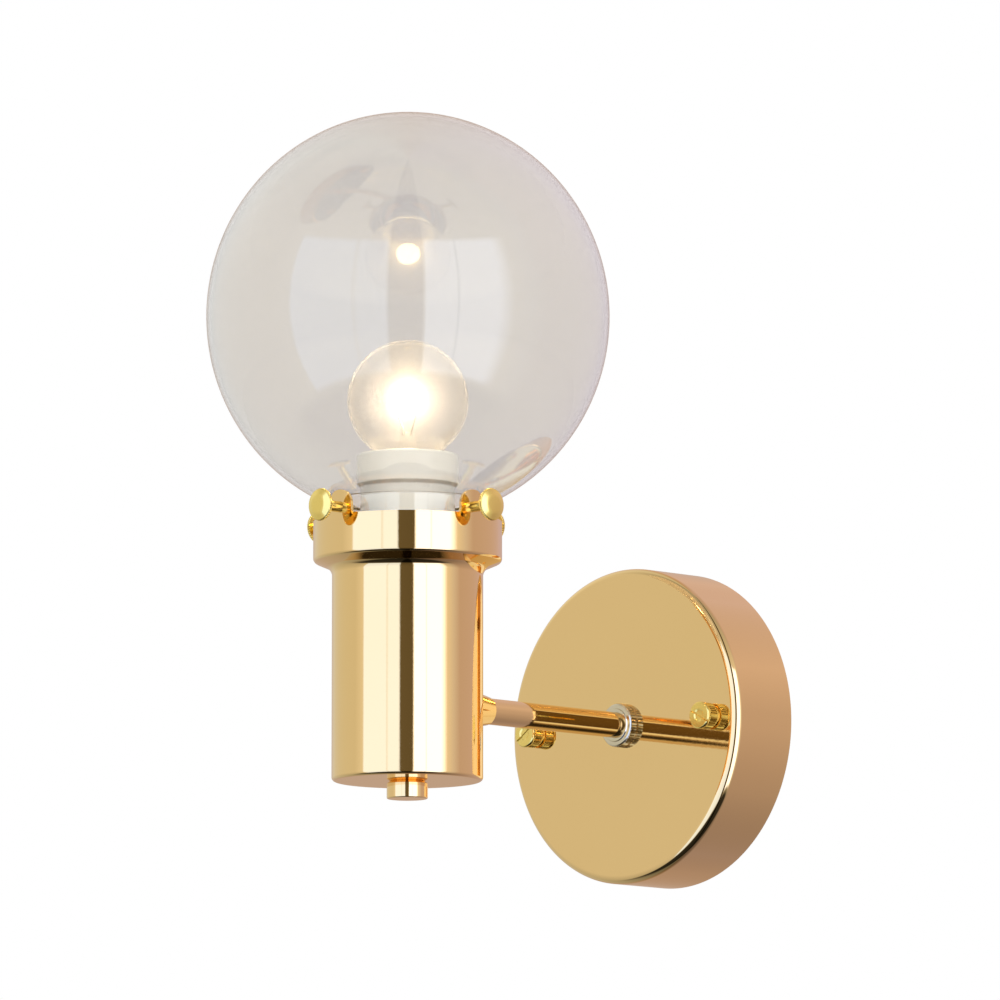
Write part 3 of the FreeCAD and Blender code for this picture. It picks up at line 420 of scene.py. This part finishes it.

# %% [markdown]
# ## The lit coil
# The filament glows at about 2700 K. Its colour is a warm white, slightly uneven along the
# coil, and its strength is high enough to light the bulb and the porcelain below it.

# %% Glowing finish
glowing = finish("glowing_filament", (0.9, 0.6, 0.3), (0.8, 0.5, 0.25), (0.4, 0.5), Emission_Strength=60.0)
heat = add(glowing.node_tree, "ShaderNodeGroup", node_tree=tones)
heat.inputs["Scale"].default_value = 300.0
heat.inputs["Main"].default_value = (1.0, 0.72, 0.40, 1)
heat.inputs["Other"].default_value = (1.0, 0.62, 0.30, 1)
glowing.node_tree.links.new(heat.outputs["Color"], glowing.node_tree.nodes["Principled BSDF"].inputs["Emission Color"])

# %% [markdown]
# ## Finishing a piece
# `dressed` turns a bmesh or an object into a finished piece: it shades the curved faces smooth
# and keeps the real edges sharp, lets big faces rule the normals so that mirrors stay flat,
# gives the material, hangs it on its body, and hides the CAD nodes that the piece stands for.

# %% Piece helper
def dressed(name, shape, body, material, nodes=None, sharp=32.0):
    piece = shape if isinstance(shape, bpy.types.Object) else as_object(name, shape)
    piece.name = name
    piece.data.shade_smooth()
    piece.data.set_sharp_from_angle(angle=math.radians(sharp))
    calm = piece.modifiers.new("calm_normals", "WEIGHTED_NORMAL")
    calm.keep_sharp, calm.weight = True, 50
    piece.data.materials.clear()
    piece.data.materials.append(material)
    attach(piece, body)
    for node in nodes or [name.replace("_dressed", "")]:
        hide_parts(node)
    print(name, len(piece.data.polygons), "faces")
    return piece


# %% [markdown]
# ## Wall plate
# The plate is spun from thin sheet: a flat face, a rounded edge and a side that runs back
# to the wall. One thin closed outline, spun once, gives both its skins. A small drilled hole in
# the top of the side takes a locking screw.

# %% Wall plate
plate = as_object("wall_plate_dressed", from_wall(turned([
    (59.0, 0.0, 0), (60.0, 0.0, 0.1), (60.0, 8.0, 0), (60.0, 20.0, 0), (60.0, PLATE_DEPTH, 3.2),
    (52.0, PLATE_DEPTH, 0), (38.0, PLATE_DEPTH, 0), (4.95, PLATE_DEPTH, 0), (4.95, PLATE_DEPTH - 1, 0),
    (59.0, PLATE_DEPTH - 1, 2.2), (59.0, 20.0, 0), (59.0, 8.0, 0)], steps=256)))
cut(plate, [rod(1.6, (0, -21.6, 56.0), (0, -21.6, 64.0)), rod(2.2, (-STUD_X, -25, 0), (-STUD_X, -35, 0)),
            rod(2.2, (STUD_X, -25, 0), (STUD_X, -35, 0))])
dressed("wall_plate_dressed", plate, "sconce", polished_gold, ["wall_plate"])

# %% [markdown]
# ## Cap nuts on the plate
# Two cap nuts hold the plate on its studs. Each has a plain foot, a knurled waist and a polished
# cap with a raised lip and a screwdriver slot, so it is three turned or knurled shapes in one
# piece, with the slot cut last. The two slots stopped at different angles.

# %% Cap nuts
def cap_nut(name, body, side, slot_angle):
    high = 6.4
    bm = turned([(0, 0, 0), (4.3, 0, 0.1), (4.3, 1.2, 0), (0, 1.2, 0)], closed=False, steps=72)
    add_to(bm, knurled(34, 4.95, 0.22, 0.9, high - 1.5))
    add_to(bm, turned([
        (0, high - 1.6, 0), (4.7, high - 1.6, 0), (5.1, high - 1.2, 0.15), (5.1, high - 0.35, 0.3),
        (4.6, high, 0.2), (2.5, high, 0.1), (1.9, high - 0.35, 0.1), (0, high - 0.35, 0)], closed=False, steps=72))
    nut = as_object(name, bm)
    saw = block((-6, -0.45, high - 0.7), (6, 0.45, high + 1))
    bmesh.ops.rotate(saw, cent=(0, 0, 0), matrix=Matrix.Rotation(math.radians(slot_angle), 3, "Z"), verts=saw.verts)
    cut(nut, [saw])
    bm = bmesh.new()
    bm.from_mesh(nut.data)
    from_wall(bm, PLATE_DEPTH + 0.02, side * STUD_X)
    bm.to_mesh(nut.data)
    bm.free()
    return dressed(name, nut, body, yellow_brass)


cap_nut("plate_nut_left_dressed", "left_plate_nut", -1, 35)
cap_nut("plate_nut_right_dressed", "right_plate_nut", 1, -28)

# %% [markdown]
# ## Arm, ring nut and ferrule
# The arm is a plain tube. At the plate a knurled ring nut clamps it, with a small raised step
# round the arm. At the cup a short cone, the ferrule, fills the corner; its foot is cut to the
# round of the barrel so that no gap shows.

# %% Arm
arm_front = -CUP_Y - CUP_R + 1.2 + 7.0
dressed("arm_tube_dressed", from_wall(turned([
    (3.6, 22.0, 0), (ARM_R, 22.0, 0.5), (ARM_R, 60, 0), (ARM_R, arm_front, 0.5), (3.6, arm_front, 0)], steps=128)),
    "sconce", polished_gold, ["arm_tube"])

# %% Ring nut
ring_nut = turned([
    (4.95, 0.0, 0), (7.9, 0.0, 0), (7.9, 0.4, 0), (8.05, 0.4, 0), (8.05, 3.25, 0), (7.6, 3.6, 0.15),
    (6.35, 3.6, 0.1), (6.15, 4.1, 0.2), (4.95, 4.1, 0)], steps=112)
band = cut(as_object("band", knurled(44, 8.3, 0.35, 0.35, 3.1, 0.14)), [rod(7.0, (0, 0, -1), (0, 0, 5))])
ring_nut.from_mesh(band.data)
bpy.data.objects.remove(band)
dressed("arm_ring_nut_dressed", from_wall(ring_nut, PLATE_DEPTH + 0.02), "sconce", nickel_ring,
        ["arm_ring_nut"])

# %% Ferrule
cone = as_object("arm_ferrule_dressed", from_wall(turned([
    (ARM_R + 0.05, 102.0, 0), (5.3, 102.0, 0.15), (8.0, 115.0, 0), (8.0, 130.0, 0), (ARM_R + 0.05, 130.0, 0)],
    steps=128)))
cut(cone, [rod(CUP_R + 0.02, (0, CUP_Y, -30), (0, CUP_Y, 30), 256)])
dressed("arm_ferrule_dressed", cone, "sconce", polished_gold, ["arm_ferrule"])

# %% [markdown]
# ## Cup
# The cup was spun from one disc, then four ears were cut from its rim. The barrel and shoulder
# are an open outline spun once. The upper collar starts as a flat strip with four tongues, cut
# into 256 narrow columns and rolled up to the collar's radius, so that the mirror stays truly
# round up to the tips of the ears. The two share their edge and are welded there.

# %% Barrel and shoulder
COLUMNS = 256
JOIN_Z = 57.0
shell = turned([
    (5.0, CUP_FOOT, 0), (23.0, CUP_FOOT, 0), (CUP_R, CUP_FOOT, 1.4), (CUP_R, -24, 0), (CUP_R, -10, 0), (CUP_R, 10, 0),
    (CUP_R, 42, 0), (CUP_R, 49.5, 3.5), (COLLAR_R, 52.5, 1.5), (COLLAR_R, JOIN_Z, 0)], closed=False, steps=COLUMNS)
print("barrel", len(shell.faces), "faces")

# %% Collar with its ears
def collar_strip():
    """The unrolled collar: x runs round the rim, z up."""
    quarter = math.tau * COLLAR_R / 4
    corners = [(-quarter / 2, JOIN_Z, 0), (-quarter / 2, RIM_Z, 0)]
    for i in range(4):
        middle = i * quarter
        corners += [(middle - 5.9, RIM_Z, 1.6), (middle - 5.9, RIM_Z + 8.9, 5.5),
                    (middle + 5.9, RIM_Z + 8.9, 5.5), (middle + 5.9, RIM_Z, 1.6)]
    corners += [(3.5 * quarter, RIM_Z, 0), (3.5 * quarter, JOIN_Z, 0)]
    bm = outline(corners)
    bmesh.ops.contextual_create(bm, geom=bm.edges)
    for i in range(1, COLUMNS):
        place = (-quarter / 2 + i * 4 * quarter / COLUMNS) * MM
        bmesh.ops.bisect_plane(bm, geom=bm.verts[:] + bm.edges[:] + bm.faces[:], dist=1e-8,
                               plane_co=(place, 0, 0), plane_no=(1, 0, 0))
    return bm


strip = collar_strip()
for v in strip.verts:
    angle = v.co.x / (COLLAR_R * MM)
    v.co = Vector((math.cos(angle) * COLLAR_R * MM, math.sin(angle) * COLLAR_R * MM, v.co.z))
add_to(shell, strip)
bmesh.ops.remove_doubles(shell, verts=shell.verts, dist=4e-6)
bmesh.ops.recalc_face_normals(shell, faces=shell.faces)
inward = sum(f.normal.xy.dot(f.calc_center_median().xy) < 0 for f in shell.faces)
if inward > len(shell.faces) / 2:
    bmesh.ops.reverse_faces(shell, faces=shell.faces)
print("open edges", sum(e.is_boundary for e in shell.edges))

# %% Give the cup its wall and its holes
cup = as_object("lamp_cup_dressed", to_cup(shell))
wall = cup.modifiers.new("wall", "SOLIDIFY")
wall.thickness, wall.offset, wall.use_even_offset = 1.3 * MM, -1, True
edge = cup.modifiers.new("edge", "BEVEL")
edge.width, edge.segments, edge.limit_method, edge.angle_limit = 0.22 * MM, 3, "ANGLE", math.radians(60)
kept(cup)
holes = [rod(ARM_R + 0.05, (0, CUP_Y + 10, 0), (0, CUP_Y + 40, 0))]
for x, y in ((0, -1), (1, 0), (0, 1), (-1, 0)):
    holes.append(rod(2.05, (x * 28, CUP_Y + y * 28, SCREW_Z), (x * 40, CUP_Y + y * 40, SCREW_Z)))
cut(cup, holes)
dressed("lamp_cup_dressed", cup, "sconce", polished_gold, ["lamp_cup"])

# %% [markdown]
# ## Thumb screws
# Each screw is a plain shank with a thin, finely knurled head that is slightly domed. It is
# drawn about the upright axis from the cup's centre outwards, laid over, and turned to its
# quarter. The left one has been backed out a little, as in the photograph.

# %% Thumb screws
def thumb_screw(name, body, quarter, backed_out):
    tip, head = 30.3 + backed_out, 43.7 + backed_out
    outer = head + 1.3
    bm = turned([
        (0, tip, 0), (1.5, tip, 0), (2.0, tip + 0.5, 0), (2.0, head - 0.6, 0.3), (2.9, head, 0), (5.75, head, 0),
        (5.75, outer, 0.3), (3.3, outer + 0.935, 4.0), (0, outer + 1.1, 0)], closed=False, steps=96)
    add_to(bm, knurled(44, 6.0, 0.28, head + 0.15, outer - 0.15, 0.12))
    from_wall(bm)
    bmesh.ops.rotate(bm, cent=(0, 0, 0), matrix=Matrix.Rotation(quarter * math.pi / 2, 3, "Z"), verts=bm.verts)
    return dressed(name, to_cup(bm, SCREW_Z), body, yellow_brass)


thumb_screw("thumb_screw_front_dressed", "front_screw", 0, 0)
thumb_screw("thumb_screw_right_dressed", "right_screw", 1, 0)
thumb_screw("thumb_screw_wall_dressed", "wall_side_screw", 2, 0)
thumb_screw("thumb_screw_left_dressed", "left_screw", 3, 3.4)

# %% [markdown]
# ## Knob under the cup
# A round cap nut closes the foot of the threaded stem. It is a short blind cylinder with a
# sloping shoulder at the top, polished like the cup.

# %% Bottom knob
top = CUP_FOOT - 0.02
dressed("bottom_cap_nut_dressed", to_cup(turned([
    (0, top - 5.1, 0), (5.0, top - 5.1, 0), (5.0, top, 0), (6.5, top, 0), (7.6, top - 0.9, 0.15),
    (7.6, top - 6.5, 0.5), (0, top - 6.5, 0)], closed=False, steps=128)), "sconce", polished_gold, ["bottom_cap_nut"])

# %% [markdown]
# ## Globe
# The globe is blown glass, a little taller than round, with a straight neck. A quarter-turn of
# spun points would make a true ball; this one is an ellipse, so its outer and inner skins are
# drawn as one closed section: down the outside, round the foot of the neck, and up the inside.
# The small bend where ball and neck meet is a bevel, so light runs round it without a seam.

# %% Globe
def ball_line(width, height, neck, low, bend):
    """One skin of the globe, from its crown to the foot of its neck."""
    full = math.pi / 2 + math.acos(neck / width)
    points = [(0, GLOBE_Z + height, 0)]
    for i in range(1, 97):
        angle = math.pi / 2 - full * i / 96
        points.append((width * math.cos(angle), GLOBE_Z + height * math.sin(angle), bend if i == 96 else 0))
    return points + [(neck, low, 0.7 if bend < 1 else 0)]


outer = ball_line(75.0, 76.2, 30.0, 52.6, 0.9)
inner = ball_line(73.4, 74.6, 28.0, 52.6, 1.0)
glass_line = outer[:-1] + [(30.0, 52.6, 0.7), (28.0, 52.6, 0.7)] + inner[-2::-1]
dressed("glass_globe_dressed", to_cup(turn(outline(glass_line, closed=False), 224)), "globe", globe_glass,
        ["globe_neck", "globe_bowl", "globe_dome"], 80)

# %% [markdown]
# ## Lampholder
# The porcelain holder is a deep socket with a wider head above a small step. It is turned as
# one closed outline, from the foot round the outside, over the lip and down the bore, and the
# holes for its screws, leads and clamps are cut from below.

# %% Porcelain body
FOOT_Z, SOCKET_FLOOR, HOLDER_TOP, CAP_TOP = 44.0, 57.0, 92.6, 89.0
holder = as_object("lampholder_body_dressed", to_cup(turned([
    (0, FOOT_Z, 0), (16.6, FOOT_Z, 0.6), (17.6, FOOT_Z + 4, 1.0), (17.6, 80.3, 0.8), (19.0, 81.5, 0.6),
    (19.0, HOLDER_TOP, 1.2), (15.6, HOLDER_TOP, 0.8), (15.2, CAP_TOP, 0.2), (13.8, CAP_TOP, 0.1),
    (13.8, SOCKET_FLOOR, 0), (0, SOCKET_FLOOR, 0)], closed=False, steps=160)))
holes = []
for side in (-1, 1):
    holes.append(rod(1.55, (0, CUP_Y + side * 10.5, 43), (0, CUP_Y + side * 10.5, 52)))
    holes.append(rod(1.25, (side * 11, CUP_Y + 4, 43), (side * 11, CUP_Y + 4, 52)))
    holes.append(block((side * 11 - 2.5, CUP_Y + 1, 51.5), (side * 11 + 2.5, CUP_Y + 7, 58.5 - 0.01)))
cut(holder, holes)
dressed("lampholder_body_dressed", holder, "sconce", porcelain, ["lampholder_body"])

# %% [markdown]
# ## Bulb
# The bulb is a 45 mm ball that narrows to a neck in a rolled screw cap. The ball and neck are
# one outline with two skins. The mount inside is solid glass with a flared foot, and the cap's
# round thread is drawn as rings, as in the CAD model.

# %% Bulb glass
def bulb_line(cut_in):
    """Corner points of one skin of the bulb, from the neck's foot to the crown."""
    r, neck, blend, middle = 22.5 - cut_in, 12.0 - cut_in, 9.0 + cut_in, 112.9
    drop = math.sqrt((r + blend) ** 2 - (neck + blend) ** 2)
    points = [(neck, CAP_TOP - 6.0, 0)]
    full = math.atan2(drop, neck + blend)
    for i in range(13):
        angle = math.pi - full * i / 12
        points.append((neck + blend + blend * math.cos(angle), middle - drop + blend * math.sin(angle), 0))
    for i in range(1, 49):
        angle = -full + (math.pi / 2 + full) * i / 48
        points.append((r * math.cos(angle), middle + r * math.sin(angle), 0))
    return points


crown = [(0, 135.4, 0)]
skins = crown + bulb_line(0)[-2::-1] + bulb_line(0.7)[:-1] + [(0, 134.7, 0)]
dressed("bulb_glass_dressed", to_cup(turn(outline(skins, closed=False), 128)), "bulb", bulb_clear,
        ["bulb_glass"], 60)

# %% Bulb mount and cap
dressed("bulb_stem_dressed", to_cup(turned([
    (0, 85.0, 0), (9.5, 85.0, 0.3), (9.5, 85.8, 0.3), (4.4, 92.0, 4.0), (3.6, 96.5, 0.5), (2.6, 101.0, 1.2),
    (0, 101.0, 0)], closed=False, steps=64)), "bulb", bulb_clear, ["bulb_stem"])
rings = [(12.1, 88.8, 0), (12.3, 88.4, 0)]
for i in range(5):
    rings += [(12.3, 83.5 - 3.63 * i + 1.52, 0), (13.2, 83.5 - 3.63 * i, 0.8)]
rings += [(12.3, 66.87, 0), (11.3, 65.5, 0), (10.9, 65.5, 0), (10.9, 82.95, 0), (12.05, 82.95, 0), (12.05, 88.8, 0)]
dressed("bulb_cap_dressed", to_cup(turned(rings, steps=128)), "bulb", cap_metal, ["bulb_cap"])

# %% [markdown]
# ## Filament and its wires
# The filament is a fine coil stretched as a low arch between two lead-in wires. One small ring
# is spun round many turns with a steady rise, which makes the coil, and the straight coil is
# then bent into the arch.

# %% Coil
coil = bmesh.new()
bmesh.ops.create_circle(coil, segments=8, radius=0.11 * MM)
bmesh.ops.rotate(coil, cent=(0, 0, 0), matrix=Matrix.Rotation(math.radians(90), 3, "X"), verts=coil.verts)
bmesh.ops.translate(coil, vec=(0.34 * MM, 0, 0), verts=coil.verts)
turns, around = 38, 14
bmesh.ops.spin(coil, geom=coil.verts[:] + coil.edges[:], cent=(0, 0, 0), axis=(0, 0, 1), angle=math.tau * turns,
               steps=turns * around, dvec=(0, 0, 14.0 * MM / (turns * around)), use_merge=False, use_duplicate=False)
bmesh.ops.holes_fill(coil, edges=[e for e in coil.edges if e.is_boundary], sides=12)
for v in coil.verts:
    along = v.co.z / (14.0 * MM) * 2 - 1
    v.co = Vector((v.co.z - 7.0 * MM, v.co.y, v.co.x + (113.1 + 2.3 * (1 - along * along)) * MM))
bmesh.ops.recalc_face_normals(coil, faces=coil.faces)
if coil.calc_volume(signed=True) < 0:
    bmesh.ops.reverse_faces(coil, faces=coil.faces)
dressed("bulb_filament_dressed", to_cup(coil), "bulb", glowing, ["bulb_filament"], 80)

# %% Lead-in wires
wires = rod(0.33, (-1.2, 0, 99.5), (-7.0, 0, 112.9), 16)
add_to(wires, rod(0.33, (1.2, 0, 99.5), (7.0, 0, 112.9), 16))
dressed("bulb_supports_dressed", to_cup(wires), "bulb", tungsten, ["bulb_supports"])

# %% [markdown]
# ## Leads
# Three insulated leads run from behind the plate through the arm, two to the holder and one to
# the cup's earth terminal. Each is a smooth curve through the corners of its route, with a
# round section, drawn as a NURBS curve because a lead has no sharp corners.

# %% Leads
def lead(name, node, points, material):
    curve = bpy.data.curves.new(name, "CURVE")
    curve.dimensions, curve.bevel_depth, curve.bevel_resolution = "3D", 0.88 * MM, 5
    curve.use_fill_caps, curve.resolution_u = True, 10
    line = curve.splines.new("NURBS")
    line.points.add(len(points) - 1)
    for place, (x, y, z) in zip(line.points, points):
        place.co = (x * MM, y * MM, z * MM, 1)
    line.order_u, line.use_endpoint_u = 3, True
    piece = bpy.data.objects.new(name, curve)
    bpy.context.scene.collection.objects.link(piece)
    piece.data.materials.append(material)
    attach(piece, "sconce")
    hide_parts(node)
    print(name, len(points), "points")


for side, node, material, slot in ((1, "live_lead", brown_insulation, "brown_insulation"),
                                   (-1, "neutral_lead", blue_insulation, "blue_insulation")):
    inside = side * 1.35
    lead(node + "_dressed", node, [
        (side * 5, -7, 23), (side * 5, -7, 19.5), (side * 4.2, -7, 14), (inside * 1.3, -7, 4), (inside, -9, 0.95),
        (inside, -15, 0.95), (inside, -40, 0.95), (inside, -90, 0.95), (inside, -124, 0.95), (inside, -133, 1.2),
        (side * 7, -136, 17), (side * 9.5, -138, 27), (side * 11, -139, 37), (side * 11, -139, 45),
        (side * 11, -139, 52.5)], material)
lead("earth_lead_dressed", "earth_lead", [
    (12, -3.05, -13.6), (12, -3.05, -20), (12, -3.4, -26.5), (6, -5, -27), (0.6, -7, -26.8), (0, -7, -20), (0, -7, -8),
    (0, -7.5, -1.6), (0, -14, -1.25), (0, -40, -1.25), (0, -90, -1.25), (0, -124, -1.25), (0, -132.4, -1.5),
    (0, -133, -8), (0, -133, -16), (0, -133, -22)], green_yellow_insulation)

# %% [markdown]
# ## The hidden hardware
# The wall strap, studs, washers, nuts and terminals are the CAD solids themselves: plain
# pressed and turned metal that needs no more shape. They only get their finishes here.

# %% Finishes on the CAD solids
HARDWARE = {
    zinc_steel: ["mounting_bracket", "bracket_studs", "stud_lock_nuts", "earth_screw", "earth_tag", "cup_earth_tag",
                 "arm_rear_washer", "arm_rear_nut", "arm_cup_washer", "arm_cup_nut", "threaded_stem", "stem_washer",
                 "stem_lock_nut", "holder_strap", "holder_nut", "holder_screws", "terminal_screws", "block_screw"],
    yellow_brass: ["holder_terminals", "screw_shell", "centre_contact"],
    white_plastic: ["arm_bush", "terminal_block"],
    black_insulator: ["bulb_insulator"],
    solder: ["bulb_contact"],
}
for material, names in HARDWARE.items():
    for name in names:
        node = frame["nodes"][name]
        node.data.materials.clear()
        node.data.materials.append(material)
print("finished CAD nodes:", sum(len(names) for names in HARDWARE.values()))

# %% [markdown]
# ## Floor and surroundings
# A mirror is only as good as what it sees. The photograph's bands come from two wide soft
# windows, left and right of the camera, with a darker gap between them, and a greyer room
# behind. The world paints that room by direction for reflections only. Camera rays see plain
# white, and diffuse light stays even. The floor is far below, pale and matt.

# %% Floor
floor_shape = bmesh.new()
bmesh.ops.create_circle(floor_shape, cap_ends=True, segments=96, radius=2.6)
bmesh.ops.translate(floor_shape, vec=(0, 0, -0.46), verts=floor_shape.verts)
floor = as_object("floor", floor_shape)
floor_finish = finish("floor_pale", (0.62, 0.61, 0.60), (0.60, 0.59, 0.58), (0.8, 0.9), 2.0)
tree = floor_finish.node_tree
seen, white, mixed = add(tree, "ShaderNodeLightPath"), add(tree, "ShaderNodeEmission"), add(tree, "ShaderNodeMixShader")
straight = add(tree, "ShaderNodeMath", operation="MAXIMUM")
tree.links.new(seen.outputs["Is Camera Ray"], straight.inputs[0])
tree.links.new(seen.outputs["Is Transmission Ray"], straight.inputs[1])
tree.links.new(straight.outputs["Value"], mixed.inputs["Fac"])
tree.links.new(tree.nodes["Principled BSDF"].outputs["BSDF"], mixed.inputs[1])
veil = add(tree, "ShaderNodeAddShader")
white.inputs["Strength"].default_value = 0.42
tree.links.new(tree.nodes["Principled BSDF"].outputs["BSDF"], veil.inputs[0])
tree.links.new(white.outputs["Emission"], veil.inputs[1])
tree.links.new(veil.outputs["Shader"], mixed.inputs[2])
tree.links.new(mixed.outputs["Shader"], tree.nodes["Material Output"].inputs["Surface"])
floor.data.materials.append(floor_finish)
floor.visible_glossy = False

# %% World
world = bpy.data.worlds.new("soft_room")
bpy.context.scene.world = world
world.use_nodes = True
tree = world.node_tree
tree.nodes.clear()


def maths(operation, first, second=None):
    node = add(tree, "ShaderNodeMath", operation=operation)
    for i, value in enumerate(v for v in (first, second) if v is not None):
        if isinstance(value, (int, float)):
            node.inputs[i].default_value = value
        else:
            tree.links.new(value, node.inputs[i])
    return node.outputs["Value"]


def toward(direction):
    """How far a ray of the room points along a fixed direction, from -1 to 1."""
    node = add(tree, "ShaderNodeVectorMath", operation="DOT_PRODUCT")
    node.inputs[1].default_value = direction
    tree.links.new(where.outputs["Generated"], node.inputs[0])
    return node.outputs["Value"]


def ramp(value, stops, smooth="EASE"):
    node = add(tree, "ShaderNodeValToRGB")
    node.color_ramp.interpolation = smooth
    steps = node.color_ramp.elements
    while len(steps) < len(stops):
        steps.new(0.5)
    for step, (place, colour) in zip(steps, stops):
        step.position = place
        step.color = (*colour, 1) if isinstance(colour, tuple) else (colour, colour, colour, 1)
    tree.links.new(value, node.inputs["Fac"])
    return node.outputs["Color"]


# %% Room for the mirrors
where = add(tree, "ShaderNodeTexCoord")
FRONT = (math.sin(TURN), -math.cos(TURN), 0)
SIDE = (math.cos(TURN), math.sin(TURN), 0)
around_room = maths("ADD", maths("DIVIDE", maths("ARCTAN2", toward(SIDE), toward(FRONT)), math.tau), 0.5)


def degrees(angle):
    return angle / 360 + 0.5


walls = ramp(around_room, [
    (degrees(-180), (0.56, 0.42, 0.33)), (degrees(-150), (0.70, 0.74, 0.74)), (degrees(-86), (0.70, 0.71, 0.70)),
    (degrees(-72), (0.82, 0.84, 0.88)), (degrees(-12), (0.82, 0.84, 0.88)), (degrees(-10), (0.14, 0.12, 0.08)),
    (degrees(9), (0.13, 0.11, 0.07)), (degrees(10), (0.82, 0.84, 0.88)), (degrees(62), (0.90, 0.88, 0.90)),
    (degrees(76), (0.70, 0.68, 0.80)), (degrees(88), (0.58, 0.49, 0.56)), (degrees(150), (0.63, 0.53, 0.65)),
    (degrees(180), (0.56, 0.42, 0.33))], "LINEAR")
left_tint, right_tint = (0.30, 0.60, 1.55), (1.1, 1.4, 2.7)
windows = ramp(around_room, [
    (degrees(-71), (0, 0, 0)), (degrees(-69), left_tint), (degrees(-31.2), left_tint),
    (degrees(-30.6), (0, 0, 0)), (degrees(-30.0), (0, 0, 0)), (degrees(-29.4), left_tint),
    (degrees(-12), left_tint), (degrees(-10), (0, 0, 0)), (degrees(9.5), (0, 0, 0)), (degrees(11), right_tint),
    (degrees(29), right_tint), (degrees(29.5), left_tint), (degrees(30), right_tint),
    (degrees(54), right_tint), (degrees(64), (0, 0, 0))], "LINEAR")
up = maths("MULTIPLY_ADD", toward((0, 0, 1)), 0.5)
tree.nodes[-1].inputs[2].default_value = 0.5
window_height = ramp(up, [(0.175, 0.0), (0.20, 1.0), (0.77, 1.0), (0.79, 0.0)], "LINEAR")
front_height = ramp(up, [(0.0, 0.02), (0.15, 0.04), (0.195, 0.75), (0.5, 1.0), (0.75, 1.0), (0.88, 0.7), (1.0, 0.5)],
                    "LINEAR")
back_height = ramp(up, [(0.0, 0.20), (0.15, 0.57), (0.24, 0.74), (0.5, 0.98), (0.57, 1.0), (0.75, 1.2), (1.0, 0.9)],
                   "LINEAR")
behind = ramp(around_room, [(degrees(-125), 1.0), (degrees(-95), 0.0), (degrees(70), 0.0), (degrees(92), 1.0)],
              "LINEAR")


def colours(mode, first, second, factor=None):
    node = add(tree, "ShaderNodeMix", data_type="RGBA", blend_type=mode)
    node.inputs["Factor"].default_value = 1.0
    if factor:
        tree.links.new(factor, node.inputs["Factor"])
    tree.links.new(first, node.inputs["A"])
    tree.links.new(second, node.inputs["B"])
    return node.outputs["Result"]


height_light = colours("MIX", front_height, back_height, behind)
room = colours("ADD", colours("MULTIPLY", walls, height_light), colours("MULTIPLY", windows, window_height))

# %% Join the room, the white background and the plain light
light_path = add(tree, "ShaderNodeLightPath")
background = {}
for name, strength in (("mirror", 1.0), ("white", 1.0), ("plain", 0.75)):
    background[name] = add(tree, "ShaderNodeBackground")
    background[name].inputs["Strength"].default_value = strength
tree.links.new(room, background["mirror"].inputs["Color"])
for name in ("white", "plain"):
    background[name].inputs["Color"].default_value = (1, 1, 1, 1)
shown = maths("MAXIMUM", light_path.outputs["Is Camera Ray"], light_path.outputs["Is Transmission Ray"])
first = add(tree, "ShaderNodeMixShader")
tree.links.new(light_path.outputs["Is Glossy Ray"], first.inputs["Fac"])
tree.links.new(background["plain"].outputs["Background"], first.inputs[1])
tree.links.new(background["mirror"].outputs["Background"], first.inputs[2])
second = add(tree, "ShaderNodeMixShader")
tree.links.new(shown, second.inputs["Fac"])
tree.links.new(first.outputs["Shader"], second.inputs[1])
tree.links.new(background["white"].outputs["Background"], second.inputs[2])
tree.links.new(second.outputs["Shader"], add(tree, "ShaderNodeOutputWorld").inputs["Surface"])

# %% [markdown]
# ## Lamps
# Two large soft lamps stand where the windows would be and give the porcelain and the floor
# their gentle shading. The mirrors already see the windows in the room, so the lamps keep out
# of the reflections. A small warm lamp sits inside the bulb and stands for the glare that a
# camera sees round a lit filament; it moves with the bulb.

# %% Glow of the bulb
glow = bpy.data.objects.new("filament_glow", bpy.data.lights.new("filament_glow", "POINT"))
bpy.context.scene.collection.objects.link(glow)
glow.parent = frame["bodies"]["bulb"]
glow.location = (0, CUP_Y * MM, 0.1135)
glow.data.energy, glow.data.shadow_soft_size, glow.data.color = 0.12, 0.0065, (1.0, 0.80, 0.52)

# %% Lamps
for name, angle, watts in (("left_window", -40, 18.0), ("right_window", 38, 28.0)):
    lamp = bpy.data.objects.new(name, bpy.data.lights.new(name, "AREA"))
    bpy.context.scene.collection.objects.link(lamp)
    lamp.data.energy, lamp.data.size = watts, 1.2
    turned_to = TURN + math.radians(angle)
    lamp.location = (math.sin(turned_to) * 1.9, -math.cos(turned_to) * 1.9 - 0.1, 0.75)
    lamp.rotation_mode = "QUATERNION"
    lamp.rotation_quaternion = (lamp.location - Vector((0, -0.1, 0.08))).to_track_quat("Z", "Y")
    lamp.visible_glossy = lamp.visible_camera = lamp.visible_transmission = False
bpy.context.scene.view_settings.view_transform = "Standard"
